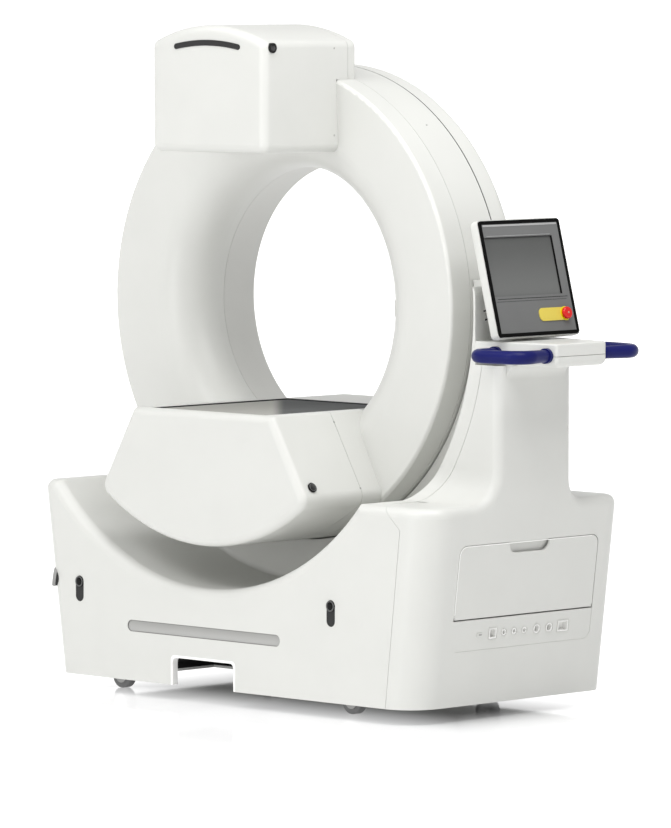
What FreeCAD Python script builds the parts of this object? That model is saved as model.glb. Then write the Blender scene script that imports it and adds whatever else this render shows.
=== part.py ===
"""A mobile cone-beam scanner: a ring that turns in a wheeled base with a side column.

Lengths are millimetres.  Inside the functions a point is given from three natural
datums: x from the ring's axis, y from the base's front face, z from the floor.
The part's own frame puts its origin on the floor, at the middle of the outline.
"""
import FreeCAD, Part
import math
import os
import Sketcher

from FreeCAD import Placement, Rotation, Vector

DOC = FreeCAD.newDocument("scanner")

X_AXIS, Y_AXIS, Z_AXIS = Vector(1, 0, 0), Vector(0, 1, 0), Vector(0, 0, 1)

# ----------------------------------------------------------------- driving dimensions
SIZES = (
    # ring
    ("axis_height", 1115), ("ring_radius", 672), ("ring_front", 303), ("cover_split", 380),
    ("rotor_rear", 510), ("ring_rear", 588), ("ring_edge", 10), ("rear_round", 26),
    ("bore_radius", 381), ("bore_flare", 9), ("front_dish", 14), ("throat_round", 120),
    ("throat_end", 457), ("rotor_gap", 4), ("ring_wall", 4), ("rim_lip", 40),
    # base
    ("base_depth", 783), ("base_clearance", 43), ("base_top", 596), ("base_left", 588),
    ("base_right", 813), ("side_lean", 7.2), ("left_lean", 8), ("corner_left", 40), ("corner_right", 100),
    ("corner_rear", 60), ("edge_round", 26), ("base_wall", 5), ("seam", 1.2),
    ("seam_low", 713), ("seam_mid", 768), ("seam_mid_height", 535), ("seam_high", 700),
    ("left_seam_inset", 22), ("rear_seam", 40),
    # trough and cradle
    ("trough_radius", 793), ("trough_depth", 392), ("trough_lip", 32), ("trough_corner", 14),
    ("cradle_gap", 4), ("cradle_depth", 594), ("collar_width", 44),
    # column
    ("arm_centre", 413), ("column_width", 300), ("column_face", 888), ("column_bend", 400),
    ("column_top", 976), ("flare_front", 90), ("flare_rear", 60),
    ("shoulder_face", 800), ("shoulder_top", 1199), ("shoulder_round", 35), ("shoulder_edge", 14),
    # windows in the base's front
    ("slot_half", 306), ("slot_height", 33), ("slot_level", 199), ("slot_recess", 3),
    ("eye_offset", 504), ("eye_width", 33), ("eye_low", 253), ("eye_high", 327),
    ("lens_radius", 14), ("lens_proud", 4), ("lens_edge", 3.6), ("insert_thickness", 6),
    ("notch_half", 129), ("notch_top", 128), ("notch_round", 14), ("notch_depth", 190),
    ("notch_lip", 7), ("lip_depth", 20), ("dock_bore", 8), ("dock_block", 30),
    ("dock_spacing", 70), ("dock_wall", 10), ("dock_height", 47),
    # side bumper
    ("bumper_radius", 25), ("bumper_height", 309), ("bumper_reach", 5), ("bumper_disc", 19),
    ("bumper_disc_proud", 1), ("bumper_turn", 42),
    # service door and connector panel, measured in the plane of the leaning side
    ("door_front", 132), ("door_rear", 693), ("door_low", 242), ("door_high", 450),
    ("panel_low", 153), ("panel_round", 27), ("door_thickness", 6), ("door_gap", 1.5),
    ("grip_front", 330), ("grip_rear", 491), ("grip_depth", 30), ("grip_recess", 12), ("pan_wall", 3),
    ("pan_depth", 70), ("hinge_radius", 3), ("knuckle_wall", 2.5), ("knuckle_length", 90),
    ("hinge_clearance", 0.08), ("socket_depth", 12), ("socket_rim", 3), ("foot_gap", 2.5),
    ("strip_thickness", 10), ("port_front", 296), ("port_side", 29), ("small_port_front", 341),
    ("small_port_pitch", 41), ("small_port_width", 17), ("small_port_count", 3),
    ("large_port_front", 473), ("large_port_pitch", 51), ("large_port_width", 25),
    ("large_port_count", 2), ("inlet_centre", 580),
    ("inlet_width", 42), ("inlet_height", 30),
    # tray and handles
    ("tray_end", 1058), ("tray_end_width", 200), ("tray_seam_height", 1006), ("tray_top", 1041),
    ("tray_wall", 4), ("tray_lower_round", 18), ("tray_corner", 10), ("tray_top_round", 5),
    ("tube_radius", 17), ("handle_reach", 138), ("handle_root_in", 866),
    ("handle_root_out", 1026), ("handle_bend", 48), ("handle_height", 1008),
    ("socket_radius", 21), ("socket_length", 12),
    # console
    ("console_width", 329), ("console_height", 331), ("console_face", 900),
    ("console_low", 1051), ("console_lean", 14.6), ("console_depth", 20),
    ("console_round", 12), ("console_wall", 3), ("console_back", 10), ("console_back_inset", 1.5),
    ("bezel_margin", 3), ("bezel_border", 10), ("bezel_thickness", 5), ("panel_recess", 1.5),
    ("display_left", 12), ("display_width", 271), ("display_low", 116), ("display_high", 281),
    ("display_recess", 5), ("plate_length", 122), ("plate_height", 37), ("label_thickness", 2.5),
    ("stop_side", 115), ("stop_up", 60), ("stop_radius", 17), ("stop_dome", 9),
    ("stop_neck", 10), ("stop_neck_length", 12), ("stop_travel", 4), ("stop_lift", 0.5),
    ("stop_clearance", 0.08),
    ("tilt_back", 50), ("tilt_up", 40), ("tilt_pin", 6), ("tilt_lug_wall", 6),
    ("tilt_lug_width", 24), ("tilt_spacing", 120),
    # tube box
    ("tube_box_half", 226), ("tube_box_low", 430), ("tube_box_crown", 48),
    ("tube_box_apex", 785), ("tube_box_front", 20), ("tube_box_rear", 384),
    ("tube_box_seam", 34), ("tube_box_round", 24),
    ("tube_box_rear_round", 12), ("box_wall", 4),
    ("bar_half", 123), ("bar_drop", 41), ("bar_sag", 11), ("bar_height", 16),
    ("bar_proud", 1.5), ("tube_lens_drop", 62), ("tube_lens_setback", 31),
    ("xray_radius", 78), ("xray_length", 330), ("xray_drop", 170), ("xray_setback", 190),
    ("collimator_half", 75),
    # detector box and its tail through the bore
    ("plate_level", 294), ("detector_top_half", 278), ("detector_flank", 30),
    ("detector_front", -8), ("detector_round", 22), ("detector_edge", 8),
    ("detector_corner", 34), ("corner_band", 50), ("detector_split", 227),
    ("detector_lens_drop", 194),
    ("detector_lens_setback", 49), ("tail_rear", 806), ("tail_gap", 3),
    ("tail_edge", 5), ("window_half", 230), ("window_front", 24), ("window_rear", 567),
    ("window_recess", 4), ("window_thickness", 3), ("sensor_half", 190),
    ("sensor_depth", 430), ("sensor_thickness", 20),
    # rotor and gantry structure
    ("drum_web_front", 420), ("drum_web", 20), ("drum_rim", 8), ("drum_rim_front", 360),
    ("drum_rim_rear", 500), ("hub_wall", 10), ("hub_front", 430), ("hub_rear", 505),
    ("hole_radius", 62), ("hole_count", 12),
    ("race_wall", 25), ("race_width", 52), ("race_clearance", 0.1), ("frame_web_front", 532),
    ("frame_web", 20), ("frame_rim_front", 520), ("frame_rim_rear", 560), ("frame_rim", 18),
    ("frame_hub_wall", 18), ("bracket_half", 120), ("bracket_wall", 12),
    ("bracket_inset", 96),
    # drive
    ("roller_radius", 40), ("roller_width", 56), ("roller_front", 422), ("roller_offset", 210),
    ("roller_gap", 0.3), ("axle_radius", 9), ("axle_length", 30), ("motor_radius", 28),
    ("motor_length", 70), ("motor_plate", 12), ("motor_gap", 6), ("motor_plate_over", 20),
    ("motor_plate_in", 30), ("motor_plate_out", 60), ("running_fit", 0.05), ("seat_gap", 0.2),
    # chassis
    ("deck_low", 100), ("deck_thickness", 12), ("support_offset", 320),
    ("support_half", 70), ("post_inner", 720), ("post_front", 400), ("post_rear", 520),
    ("post_wall", 6),
    ("bulkhead_front", 200), ("bulkhead_rear", 572), ("bulkhead", 6), ("bulkhead_hole", 55),
    ("bulkhead_pitch", 180), ("bulkhead_level", 205), ("unit_height", 150), ("unit_inner", 160),
    ("unit_width", 290), ("unit_front", 230), ("unit_depth", 240),
    # casters
    ("wheel_radius", 37.5), ("wheel_width", 30), ("hub_disc", 24), ("fork_wall", 5),
    ("fork_gap", 2), ("trail", 26), ("fork_top", 10), ("fork_head", 20), ("swivel_plate", 45),
    ("plate_thickness", 12), ("swivel_pin", 8), ("axle_boss", 12),
    ("caster_left", 450), ("caster_right", 474), ("caster_front", 125),
    ("caster_rear_inset", 120),
    ("wheel_axle", 6), ("wheel_clearance", 0.08), ("swivel_clearance", 0.3),
)


def make_sheet():
    """The spreadsheet of driving dimensions, one named cell each."""
    sheet = DOC.addObject("Spreadsheet::Sheet", "sizes")
    for row, (name, number) in enumerate(SIZES, start=1):
        sheet.set("A%d" % row, name)
        sheet.set("B%d" % row, str(number))
        sheet.setAlias("B%d" % row, name)
    DOC.recompute()
    return sheet


class Length:
    """A size that carries its number and the expression that ties it to the sheet."""

    def __init__(self, number, text):
        self.number, self.text = float(number), text

    def __float__(self):
        return self.number

    @staticmethod
    def of(other):
        return other if isinstance(other, Length) else Length(other, "%r" % float(other))

    def __add__(self, other):
        other = Length.of(other)
        return Length(self.number + other.number, "(%s + %s)" % (self.text, other.text))

    def __sub__(self, other):
        other = Length.of(other)
        return Length(self.number - other.number, "(%s - %s)" % (self.text, other.text))

    def __mul__(self, other):
        other = Length.of(other)
        return Length(self.number * other.number, "(%s * %s)" % (self.text, other.text))

    def __truediv__(self, other):
        other = Length.of(other)
        return Length(self.number / other.number, "(%s / %s)" % (self.text, other.text))

    def __radd__(self, other):
        return Length.of(other) + self

    def __rsub__(self, other):
        return Length.of(other) - self

    def __rmul__(self, other):
        return Length.of(other) * self

    def __rtruediv__(self, other):
        return Length.of(other) / self

    def __neg__(self):
        return Length(-self.number, "(0 - %s)" % self.text)

    def __lt__(self, other):
        return self.number < float(other)

    def __gt__(self, other):
        return self.number > float(other)


def root(value):
    return Length(math.sqrt(float(value)), "sqrt(%s)" % value.text)


def sine(angle):
    return Length(math.sin(math.radians(float(angle))), "sin(%s)" % angle.text)


def cosine(angle):
    return Length(math.cos(math.radians(float(angle))), "cos(%s)" % angle.text)


class Sizes:
    """Attribute access to the sheet's cells, each as a Length."""

    def __init__(self, sheet):
        for name, _ in SIZES:
            setattr(self, name, Length(float(sheet.get(name)), "sizes." + name))


S = Sizes(make_sheet())

# sizes that several pieces share, worked out once
FRAME_X = (S.ring_radius - S.tray_end) / 2
FRAME_Y = -(S.tail_rear + S.detector_front) / 2
LEAN = sine(S.side_lean) / cosine(S.side_lean)
LEFT_LEAN = sine(S.left_lean) / cosine(S.left_lean)
COLUMN_FRONT = S.arm_centre - S.column_width / 2
COLUMN_REAR = S.arm_centre + S.column_width / 2
SEAT_RADIUS = S.ring_radius + S.cradle_gap
RING_INNER = S.ring_radius - S.ring_wall
FLANK = sine(S.detector_flank) / cosine(S.detector_flank)
BORE_REAR = S.bore_radius + S.bore_flare
HUB_OUTER = BORE_REAR + S.ring_wall + S.rotor_gap + S.hub_wall
RACE_SPLIT = HUB_OUTER + S.race_wall
RACE_OUTER = RACE_SPLIT + S.race_clearance + S.race_wall
TAIL_RADIUS = S.bore_radius - S.tail_gap
ROLLER_DISTANCE = S.ring_radius + S.roller_radius + S.roller_gap
ROLLER_DROP = root(ROLLER_DISTANCE * ROLLER_DISTANCE - S.roller_offset * S.roller_offset)
DECK_TOP = S.deck_low + S.deck_thickness
PIECES = []
FULL_ROUND = 0.99  # share of a half width that the corners of a round end take up
STEEP = 0.9  # share of an edge's length that an upright edge rises
PARALLEL = 0.999  # cosine above which two directions count as parallel


# ------------------------------------------------------------------ drawing helpers
def along_x(u, v):
    """A point of an outline drawn in the y-z plane."""
    return Vector(0, float(u), float(v))


def along_y(u, v):
    """A point of an outline drawn in the x-z plane."""
    return Vector(float(u), 0, float(v))


def along_z(u, v):
    """A point of an outline drawn in the x-y plane."""
    return Vector(float(u), float(v), 0)


def outline(corners, to_space):
    """A face inside corners (u, v) or (u, v, radius); a radius gives a tangent arc."""
    spots = [(Vector(float(c[0]), float(c[1]), 0), float(c[2]) if len(c) > 2 else 0.0)
             for c in corners]
    stations = []
    for index, (spot, radius) in enumerate(spots):
        if radius <= 0:
            stations.append((spot, spot, spot))
            continue
        before = (spots[index - 1][0] - spot).normalize()
        after = (spots[(index + 1) % len(spots)][0] - spot).normalize()
        half = before.getAngle(after) / 2
        reach = radius / math.tan(half)
        middle = (before + after).normalize() * (radius / math.sin(half) - radius)
        stations.append((spot + before * reach, spot + middle, spot + after * reach))
    edges = []
    for index, (start, middle, end) in enumerate(stations):
        previous = stations[index - 1][2]
        if (start - previous).Length > 1e-6:
            edges.append(Part.makeLine(to_space(*previous[:2]), to_space(*start[:2])))
        if (end - start).Length > 1e-6:
            arc = Part.Arc(to_space(*start[:2]), to_space(*middle[:2]), to_space(*end[:2]))
            edges.append(arc.toShape())
    return Part.Face(Part.Wire(edges))


def prism(corners, to_space, start, end):
    """The outline drawn at start and pushed to end, along the axis it looks down."""
    axis = {along_x: X_AXIS, along_y: Y_AXIS, along_z: Z_AXIS}[to_space]
    face = outline(corners, to_space)
    face.translate(axis * float(start))
    return face.extrude(axis * (float(end) - float(start)))


def turned(corners):
    """A solid of revolution about the ring's axis from corners (radius, y)."""
    face = outline(corners, along_z)
    solid = face.revolve(Vector(0, 0, 0), Y_AXIS, 360)
    solid.translate(Vector(0, 0, float(S.axis_height)))
    return solid


def box(x0, x1, y0, y1, z0, z1):
    """A block between two corners."""
    low = Vector(float(x0), float(y0), float(z0))
    return Part.makeBox(float(x1) - low.x, float(y1) - low.y, float(z1) - low.z, low)


def rod(radius, start, axis, length):
    """A round bar from start along axis."""
    return Part.makeCylinder(float(radius), float(length), Vector(*map(float, start)), axis)


def rounded(shape, radius, wanted):
    """The shape with every edge that wanted(edge) picks rounded."""
    return shape.makeFillet(float(radius), [edge for edge in shape.Edges if wanted(edge)])


def upright(edge):
    """True for an edge that runs steeply, as a wall's corner does."""
    rise = abs(edge.Vertexes[0].Z - edge.Vertexes[-1].Z)
    return rise > STEEP * edge.Length and edge.Length > 1


def one_solid(shape):
    """The single solid of a boolean's result."""
    solids = sorted(shape.Solids, key=lambda solid: solid.Volume)
    return solids[-1]


def seat(target, x=0, y=0, z=0, turn=None):
    """Put an object at a point given from the datums, bound to the sheet."""
    if turn is not None:
        target.Placement = Placement(Vector(), turn)
    spot = (FRAME_X + x, FRAME_Y + y, Length.of(z))
    for name, value in zip("xyz", spot):
        target.setExpression("Placement.Base." + name, value.text)
    PIECES.append(target)
    return target


def feature(label, shape, **place):
    """A piece whose shape is worked out in this file."""
    piece = DOC.addObject("Part::Feature", label)
    piece.Label = label
    piece.Shape = shape
    return seat(piece, **place)


def body(label, **place):
    """An empty body for a piece made of sketches and features."""
    piece = DOC.addObject("PartDesign::Body", label)
    piece.Label = label
    return seat(piece, **place)


def sketch(owner, plane, name):
    """A sketch on one of the body's own origin planes."""
    page = owner.newObject("Sketcher::SketchObject", name)
    origin = [item for item in owner.Origin.OriginFeatures if item.Role == plane][0]
    page.AttachmentSupport = [(origin, "")]
    page.MapMode = "FlatFace"
    return page


def bind(page, kind, *where):
    """Add a driven dimension; the last of where is the Length that it follows."""
    value = where[-1]
    index = page.addConstraint(Sketcher.Constraint(kind, *where[:-1], float(value)))
    page.setExpression("Constraints[%d]" % index, value.text)


def polygon(page, corners):
    """A closed run of straight lines; each corner is tied to the sheet from the origin."""
    spots = [Vector(float(u), float(v), 0) for u, v in corners]
    for index, spot in enumerate(spots):
        page.addGeometry(Part.LineSegment(spot, spots[(index + 1) % len(spots)]), False)
    for index, (u, v) in enumerate(corners):
        page.addConstraint(Sketcher.Constraint("Coincident", (index - 1) % len(spots), 2, index, 1))
        for kind, value in (("DistanceX", Length.of(u)), ("DistanceY", Length.of(v))):
            bind(page, kind, -1, 1, index, 1, value)


def circle(page, u, v, radius):
    """A circle tied to the sheet by its centre and radius."""
    index = page.addGeometry(Part.Circle(Vector(float(u), float(v), 0), Z_AXIS, float(radius)))
    bind(page, "Radius", index, Length.of(radius))
    for kind, value in (("DistanceX", Length.of(u)), ("DistanceY", Length.of(v))):
        bind(page, kind, -1, 1, index, 3, value)


def pad(owner, page, length, reverse=False, symmetric=False):
    """Push the sketch out into a solid."""
    step = owner.newObject("PartDesign::Pad", page.Name + "_pad")
    step.Profile = page
    step.setExpression("Length", length.text)
    step.Reversed = reverse
    step.Midplane = symmetric
    DOC.recompute()
    return step


def pocket(owner, page, length, reverse=False, symmetric=False):
    """Cut the sketch into the solid and make sure that it removed something."""
    before = owner.Shape.Volume
    step = owner.newObject("PartDesign::Pocket", page.Name + "_pocket")
    step.Profile = page
    step.setExpression("Length", length.text)
    step.Reversed = reverse
    step.Midplane = symmetric
    DOC.recompute()
    if owner.Shape.Volume >= before:
        raise RuntimeError("%s cuts nothing" % page.Name)
    return step


def spin(owner, page, axis="V_Axis"):
    """Turn the sketch a full circle about one of its own axes."""
    step = owner.newObject("PartDesign::Revolution", page.Name + "_turn")
    step.Profile = page
    step.ReferenceAxis = (page, [axis])
    step.Angle = 360
    DOC.recompute()
    return step


def ring_piece(label, corners):
    """A body turned about the ring's axis from corners (radius, y)."""
    piece = body(label, z=S.axis_height)
    page = sketch(piece, "XY_Plane", label + "_section")
    polygon(page, corners)
    spin(piece, page)
    return piece


# ------------------------------------------------------------------ shapes of the ring
def throat(radius, front, reach):
    """The corner of the ring's front face where it rolls into the bore."""
    return (radius, front + S.front_dish, S.throat_round + reach)


def ring_space(grow):
    """The whole ring as a solid, grown by a clearance, that other covers are cut by."""
    return turned([
        (S.ring_radius + grow, S.ring_rear), (S.ring_radius + grow, S.ring_front - grow),
        throat(S.bore_radius - grow, S.ring_front - grow, grow),
        (S.bore_radius - grow, S.ring_rear)])


def rotor_front_cover():
    """The dished front moulding that rolls into the bore, open behind its brackets."""
    wall = S.ring_wall
    skin = turned([
        (S.ring_radius, S.cover_split), (S.ring_radius, S.ring_front, S.ring_edge),
        throat(S.bore_radius, S.ring_front, 0), (S.bore_radius, S.throat_end),
        (S.bore_radius + wall, S.throat_end), throat(S.bore_radius + wall, S.ring_front + wall, -wall),
        (RING_INNER, S.ring_front + wall, S.ring_edge - wall), (RING_INNER, S.cover_split)])
    for sign in (1, -1):
        skin = skin.cut(bracket_block(sign, S.seam))
    feature("rotor_front_cover", one_solid(skin))


def bracket_block(sign, grow):
    """The space of the drum's bracket for the tube unit (sign 1) or the detector (-1)."""
    low, high = sorted(bracket_reach(sign), key=float)
    return box(-S.bracket_half - grow, S.bracket_half + grow, S.ring_front - S.bracket_wall,
               S.drum_web_front, S.axis_height + low - grow, S.axis_height + high + grow)


def rotor_rim_cover():
    """The plain band behind the front moulding, with a lip that closes its rear."""
    front = S.cover_split + S.seam
    ring_piece("rotor_rim_cover", [
        (RING_INNER, front), (S.ring_radius, front), (S.ring_radius, S.rotor_rear),
        (RING_INNER - S.rim_lip, S.rotor_rear),
        (RING_INNER - S.rim_lip, S.rotor_rear - S.ring_wall),
        (RING_INNER, S.rotor_rear - S.ring_wall)])


def rotor_drum():
    """The cast drum: rim, web with round windows, bearing hub and the two side brackets."""
    rim = RING_INNER - S.drum_rim
    lip = S.bore_radius + S.ring_wall + S.seat_gap
    hub_inner = HUB_OUTER - S.hub_wall
    web_rear = S.drum_web_front + S.drum_web
    drum = ring_piece("rotor_drum", [
        (lip, S.hub_front), (HUB_OUTER, S.hub_front), (HUB_OUTER, S.drum_web_front),
        (rim, S.drum_web_front), (rim, S.drum_rim_front), (RING_INNER, S.drum_rim_front),
        (RING_INNER, S.drum_rim_rear), (rim, S.drum_rim_rear), (rim, web_rear),
        (HUB_OUTER, web_rear), (HUB_OUTER, S.hub_rear), (hub_inner, S.hub_rear),
        (hub_inner, S.throat_end), (lip, S.throat_end)])
    page = sketch(drum, "XZ_Plane", "drum_window")
    half_step = 180 / S.hole_count
    middle = (HUB_OUTER + rim) / 2
    circle(page, middle * cosine(half_step), middle * sine(half_step), S.hole_radius)
    hole = pocket(drum, page, 2 * web_rear, symmetric=True)
    pattern = drum.newObject("PartDesign::PolarPattern", "drum_windows")
    pattern.Originals = [hole]
    axis = [item for item in drum.Origin.OriginFeatures if item.Role == "Y_Axis"][0]
    pattern.Axis = (axis, [""])
    pattern.Angle = 360
    pattern.setExpression("Occurrences", S.hole_count.text)
    drum.Tip = pattern
    for sign in (1, -1):
        page = sketch(drum, "XZ_Plane", "bracket_above" if sign > 0 else "bracket_below")
        page.setExpression("AttachmentOffset.Base.z", (-S.drum_web_front).text)
        inner, outer = bracket_reach(sign)
        half = S.bracket_half
        polygon(page, [(-half, inner), (half, inner), (half, outer), (-half, outer)])
        pad(drum, page, S.drum_web_front - S.ring_front + S.bracket_wall)


def bracket_reach(sign):
    """Inner and outer height of a bracket from the ring's axis."""
    return ((S.tube_box_low + S.tube_box_round) * sign,
            (S.ring_radius - S.bracket_inset) * sign)


def ring_bearing():
    """The two races of the large bearing that the drum turns in."""
    front = S.drum_web_front + S.drum_web
    rear = front + S.race_width
    ring_piece("bearing_inner_race", [
        (HUB_OUTER, front), (RACE_SPLIT, front), (RACE_SPLIT, rear), (HUB_OUTER, rear)])
    inner = RACE_SPLIT + S.race_clearance
    ring_piece("bearing_outer_race", [
        (inner, front + S.rotor_gap), (RACE_OUTER, front + S.rotor_gap),
        (RACE_OUTER, rear + S.rotor_gap), (inner, rear + S.rotor_gap)])


def gantry_frame_ring():
    """The fixed frame ring: it holds the outer race and carries the rear cover."""
    rim = RING_INNER - S.frame_rim
    hub = RACE_OUTER + S.frame_hub_wall
    race_front = S.drum_web_front + S.drum_web + S.rotor_gap
    web_rear = S.frame_web_front + S.frame_web
    ring_piece("gantry_frame_ring", [
        (RACE_OUTER, race_front), (hub, race_front), (hub, S.frame_web_front),
        (rim, S.frame_web_front), (rim, S.frame_rim_front), (RING_INNER, S.frame_rim_front),
        (RING_INNER, S.frame_rim_rear), (rim, S.frame_rim_rear), (rim, web_rear),
        (RACE_OUTER, web_rear)])


def gantry_rear_cover():
    """The fixed rear moulding, rounded at the rim, with openings for its two supports."""
    wall = S.ring_wall
    front = S.rotor_rear + S.rotor_gap
    skin = turned([
        (S.ring_radius, front), (S.ring_radius, S.ring_rear, S.rear_round),
        (BORE_REAR, S.ring_rear), (BORE_REAR, S.ring_rear - wall),
        (RING_INNER, S.ring_rear - wall, S.rear_round - wall), (RING_INNER, front)])
    for sign in (-1, 1):
        skin = skin.cut(support_block(sign, S.seam))
    feature("gantry_rear_cover", one_solid(skin))


def gantry_bore_liner():
    """The fixed sleeve behind the rotor's throat, opening slightly to the rear."""
    front = S.throat_end + S.seam
    rear = S.ring_rear - S.ring_wall
    ring_piece("gantry_bore_liner", [
        (S.bore_radius, front), (S.bore_radius + S.ring_wall, front),
        (BORE_REAR + S.ring_wall, rear), (BORE_REAR, rear)])


def support_block(sign, grow):
    """One of the two steel supports from the deck up to the frame ring."""
    return box(sign * S.support_offset - S.support_half - grow,
               sign * S.support_offset + S.support_half + grow,
               S.frame_web_front - grow, S.frame_web_front + S.frame_web + grow,
               DECK_TOP, S.axis_height - S.ring_radius / 2)


# ------------------------------------------------------------------ tube box
def tube_box_form(inset):
    """The outer form of the tube box, or its inner form when inset by a wall."""
    half = S.tube_box_half - inset
    low = S.axis_height + S.tube_box_low + inset
    side = S.axis_height + S.tube_box_apex - S.tube_box_crown - inset
    apex = S.axis_height + S.tube_box_apex - inset
    r = float(S.tube_box_round - inset)
    side_wires = [
        Part.makeLine(along_y(half, low), along_y(half, side)),
        Part.Arc(along_y(half, side), along_y(0, apex), along_y(-half, side)).toShape(),
        Part.makeLine(along_y(-half, side), along_y(-half, low)),
        Part.makeLine(along_y(-half, low), along_y(half, low))]
    face = Part.Face(Part.Wire(side_wires))
    face.translate(Y_AXIS * float(S.tube_box_front + inset))
    solid = face.extrude(Y_AXIS * float(S.tube_box_rear - S.tube_box_front - 2 * inset))
    solid = rounded(solid, r, lambda e: edge_along(e, Y_AXIS))
    front = float(S.tube_box_front + inset)
    solid = rounded(solid, r, lambda e: edge_at_y(e, front))
    rear = float(S.tube_box_rear - inset)
    return rounded(solid, float(S.tube_box_rear_round - inset), lambda e: edge_at_y(e, rear))


def edge_along(edge, axis):
    """True for a straight edge parallel to axis."""
    if not isinstance(edge.Curve, Part.Line):
        return False
    return abs(edge.Curve.Direction.dot(axis)) > PARALLEL


def edge_at_y(edge, level):
    """True for an edge that lies in the plane y = level."""
    limits = edge.BoundBox
    return abs(limits.YMin - level) < 1e-3 and abs(limits.YMax - level) < 1e-3


def tube_box_covers():
    """The front and rear mouldings of the tube box, seated on the ring's front face."""
    shell = tube_box_form(0).cut(ring_space(S.bar_proud / 10)).cut(tube_box_form(S.box_wall))
    seam = S.tube_box_rear - S.tube_box_seam
    split = float(seam)
    wide = 2 * S.ring_radius
    half_seam = S.seam / 2
    front = shell.common(box(-wide, wide, 0, split - half_seam, 0, 2 * S.axis_height))
    front = front.cut(light_bar_form(0, S.box_wall + 2 * S.bar_proud))
    front = front.cut(tube_lens_form(2 * S.box_wall, S.lens_proud))
    feature("tube_box_cover", one_solid(front))
    rear = shell.common(box(-wide, wide, split + half_seam, wide, 0, 2 * S.axis_height))
    feature("tube_box_rear_cover", one_solid(rear))


def light_bar_form(proud, depth):
    """The curved status bar as a solid set into the front face."""
    middle = S.axis_height + S.tube_box_apex - S.bar_drop
    ends = middle - S.bar_sag
    low = S.bar_height
    edges = [
        Part.Arc(along_y(-S.bar_half, ends), along_y(0, middle), along_y(S.bar_half, ends)).toShape(),
        Part.Arc(along_y(S.bar_half, ends), along_y(S.bar_half + low / 2, ends - low / 2),
                 along_y(S.bar_half, ends - low)).toShape(),
        Part.Arc(along_y(S.bar_half, ends - low), along_y(0, middle - low),
                 along_y(-S.bar_half, ends - low)).toShape(),
        Part.Arc(along_y(-S.bar_half, ends - low), along_y(-S.bar_half - low / 2, ends - low / 2),
                 along_y(-S.bar_half, ends)).toShape()]
    face = Part.Face(Part.Wire(edges))
    face.translate(Y_AXIS * float(S.tube_box_front - proud))
    return face.extrude(Y_AXIS * (float(proud) + float(depth)))


def tube_lens_form(depth, proud):
    """The round camera lens near the front of the tube box's right side, facing outwards."""
    spot = (S.tube_box_half - depth, S.tube_box_front + S.tube_lens_setback,
            S.axis_height + S.tube_box_apex - S.tube_lens_drop)
    return rod(S.lens_radius, spot, X_AXIS, depth + proud)


def tube_box_fittings():
    """The status bar, the tube unit on its bracket and the collimator under it."""
    feature("status_light_bar", light_bar_form(S.bar_proud, S.box_wall))
    level = S.axis_height + S.tube_box_apex - S.xray_drop
    tube = rod(S.xray_radius, (-S.xray_length / 2, S.xray_setback, level), X_AXIS, S.xray_length)
    low, high = bracket_reach(1)
    saddle = box(-S.bracket_half, S.bracket_half, S.xray_setback + S.xray_radius / 2,
                 S.ring_front - S.bracket_wall, S.axis_height + low + S.box_wall,
                 S.axis_height + high)
    feature("xray_tube_unit", one_solid(tube.fuse(saddle).removeSplitter()))
    top = level - S.xray_radius / 2
    half = S.collimator_half
    block = box(-half, half, S.xray_setback - half / 2, S.xray_setback + half / 2,
                S.axis_height + S.tube_box_low + S.box_wall, top)
    slot = box(-half / 2, half / 2, S.xray_setback - half / 4, S.xray_setback + half / 4, 0, 2 * top)
    block = block.cut(slot).cut(tube).cut(saddle)
    feature("collimator", one_solid(block))


def positioning_cameras():
    """The two round lenses, one on the tube box and one on the detector's housing."""
    feature("positioning_cameras", Part.makeCompound([
        tube_lens_form(2 * S.box_wall, S.lens_proud), detector_lens_form(S.lens_proud)]))


# ------------------------------------------------------------------ detector box
def detector_form(inset):
    """Detector box and the tail that runs back through the bore, as one solid."""
    top = S.axis_height - S.plate_level - inset
    half = S.detector_top_half - inset
    reach = S.ring_radius
    flank = prism([(-half, top), (half, top), (half + FLANK * reach, top - reach),
                   (-half - FLANK * reach, top - reach)], along_y,
                  S.detector_front + inset, S.cover_split)
    disc = rod(S.ring_radius - inset, (0, S.detector_front, S.axis_height), Y_AXIS, S.ring_rear)
    front_box = one_solid(flank.common(disc))
    corner = S.detector_corner - inset
    front_box = rounded(front_box, corner, lambda e: edge_along(e, Y_AXIS) and below(e, top))
    edge = S.detector_edge - inset
    front_box = rounded(front_box, edge, lambda e: edge_along(e, Y_AXIS) and not below(e, top))
    front = float(S.detector_front + inset)
    front_box = rounded(front_box, S.detector_round - inset, lambda e: edge_at_y(e, front))
    return front_box, top


def below(edge, top):
    """True for an edge well under the detector box's top face."""
    return edge.BoundBox.ZMax < float(top) - float(S.corner_band)


def tail_form(inset):
    """The part of the bore's lower segment that the tail fills."""
    top = S.axis_height - S.plate_level - inset
    segment = rod(TAIL_RADIUS - inset, (0, S.ring_front, S.axis_height), Y_AXIS,
                  S.tail_rear - S.ring_front - inset)
    lid = box(-S.ring_radius, S.ring_radius, 0, 2 * S.tail_rear, 0, top)
    return segment.common(lid)


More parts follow.
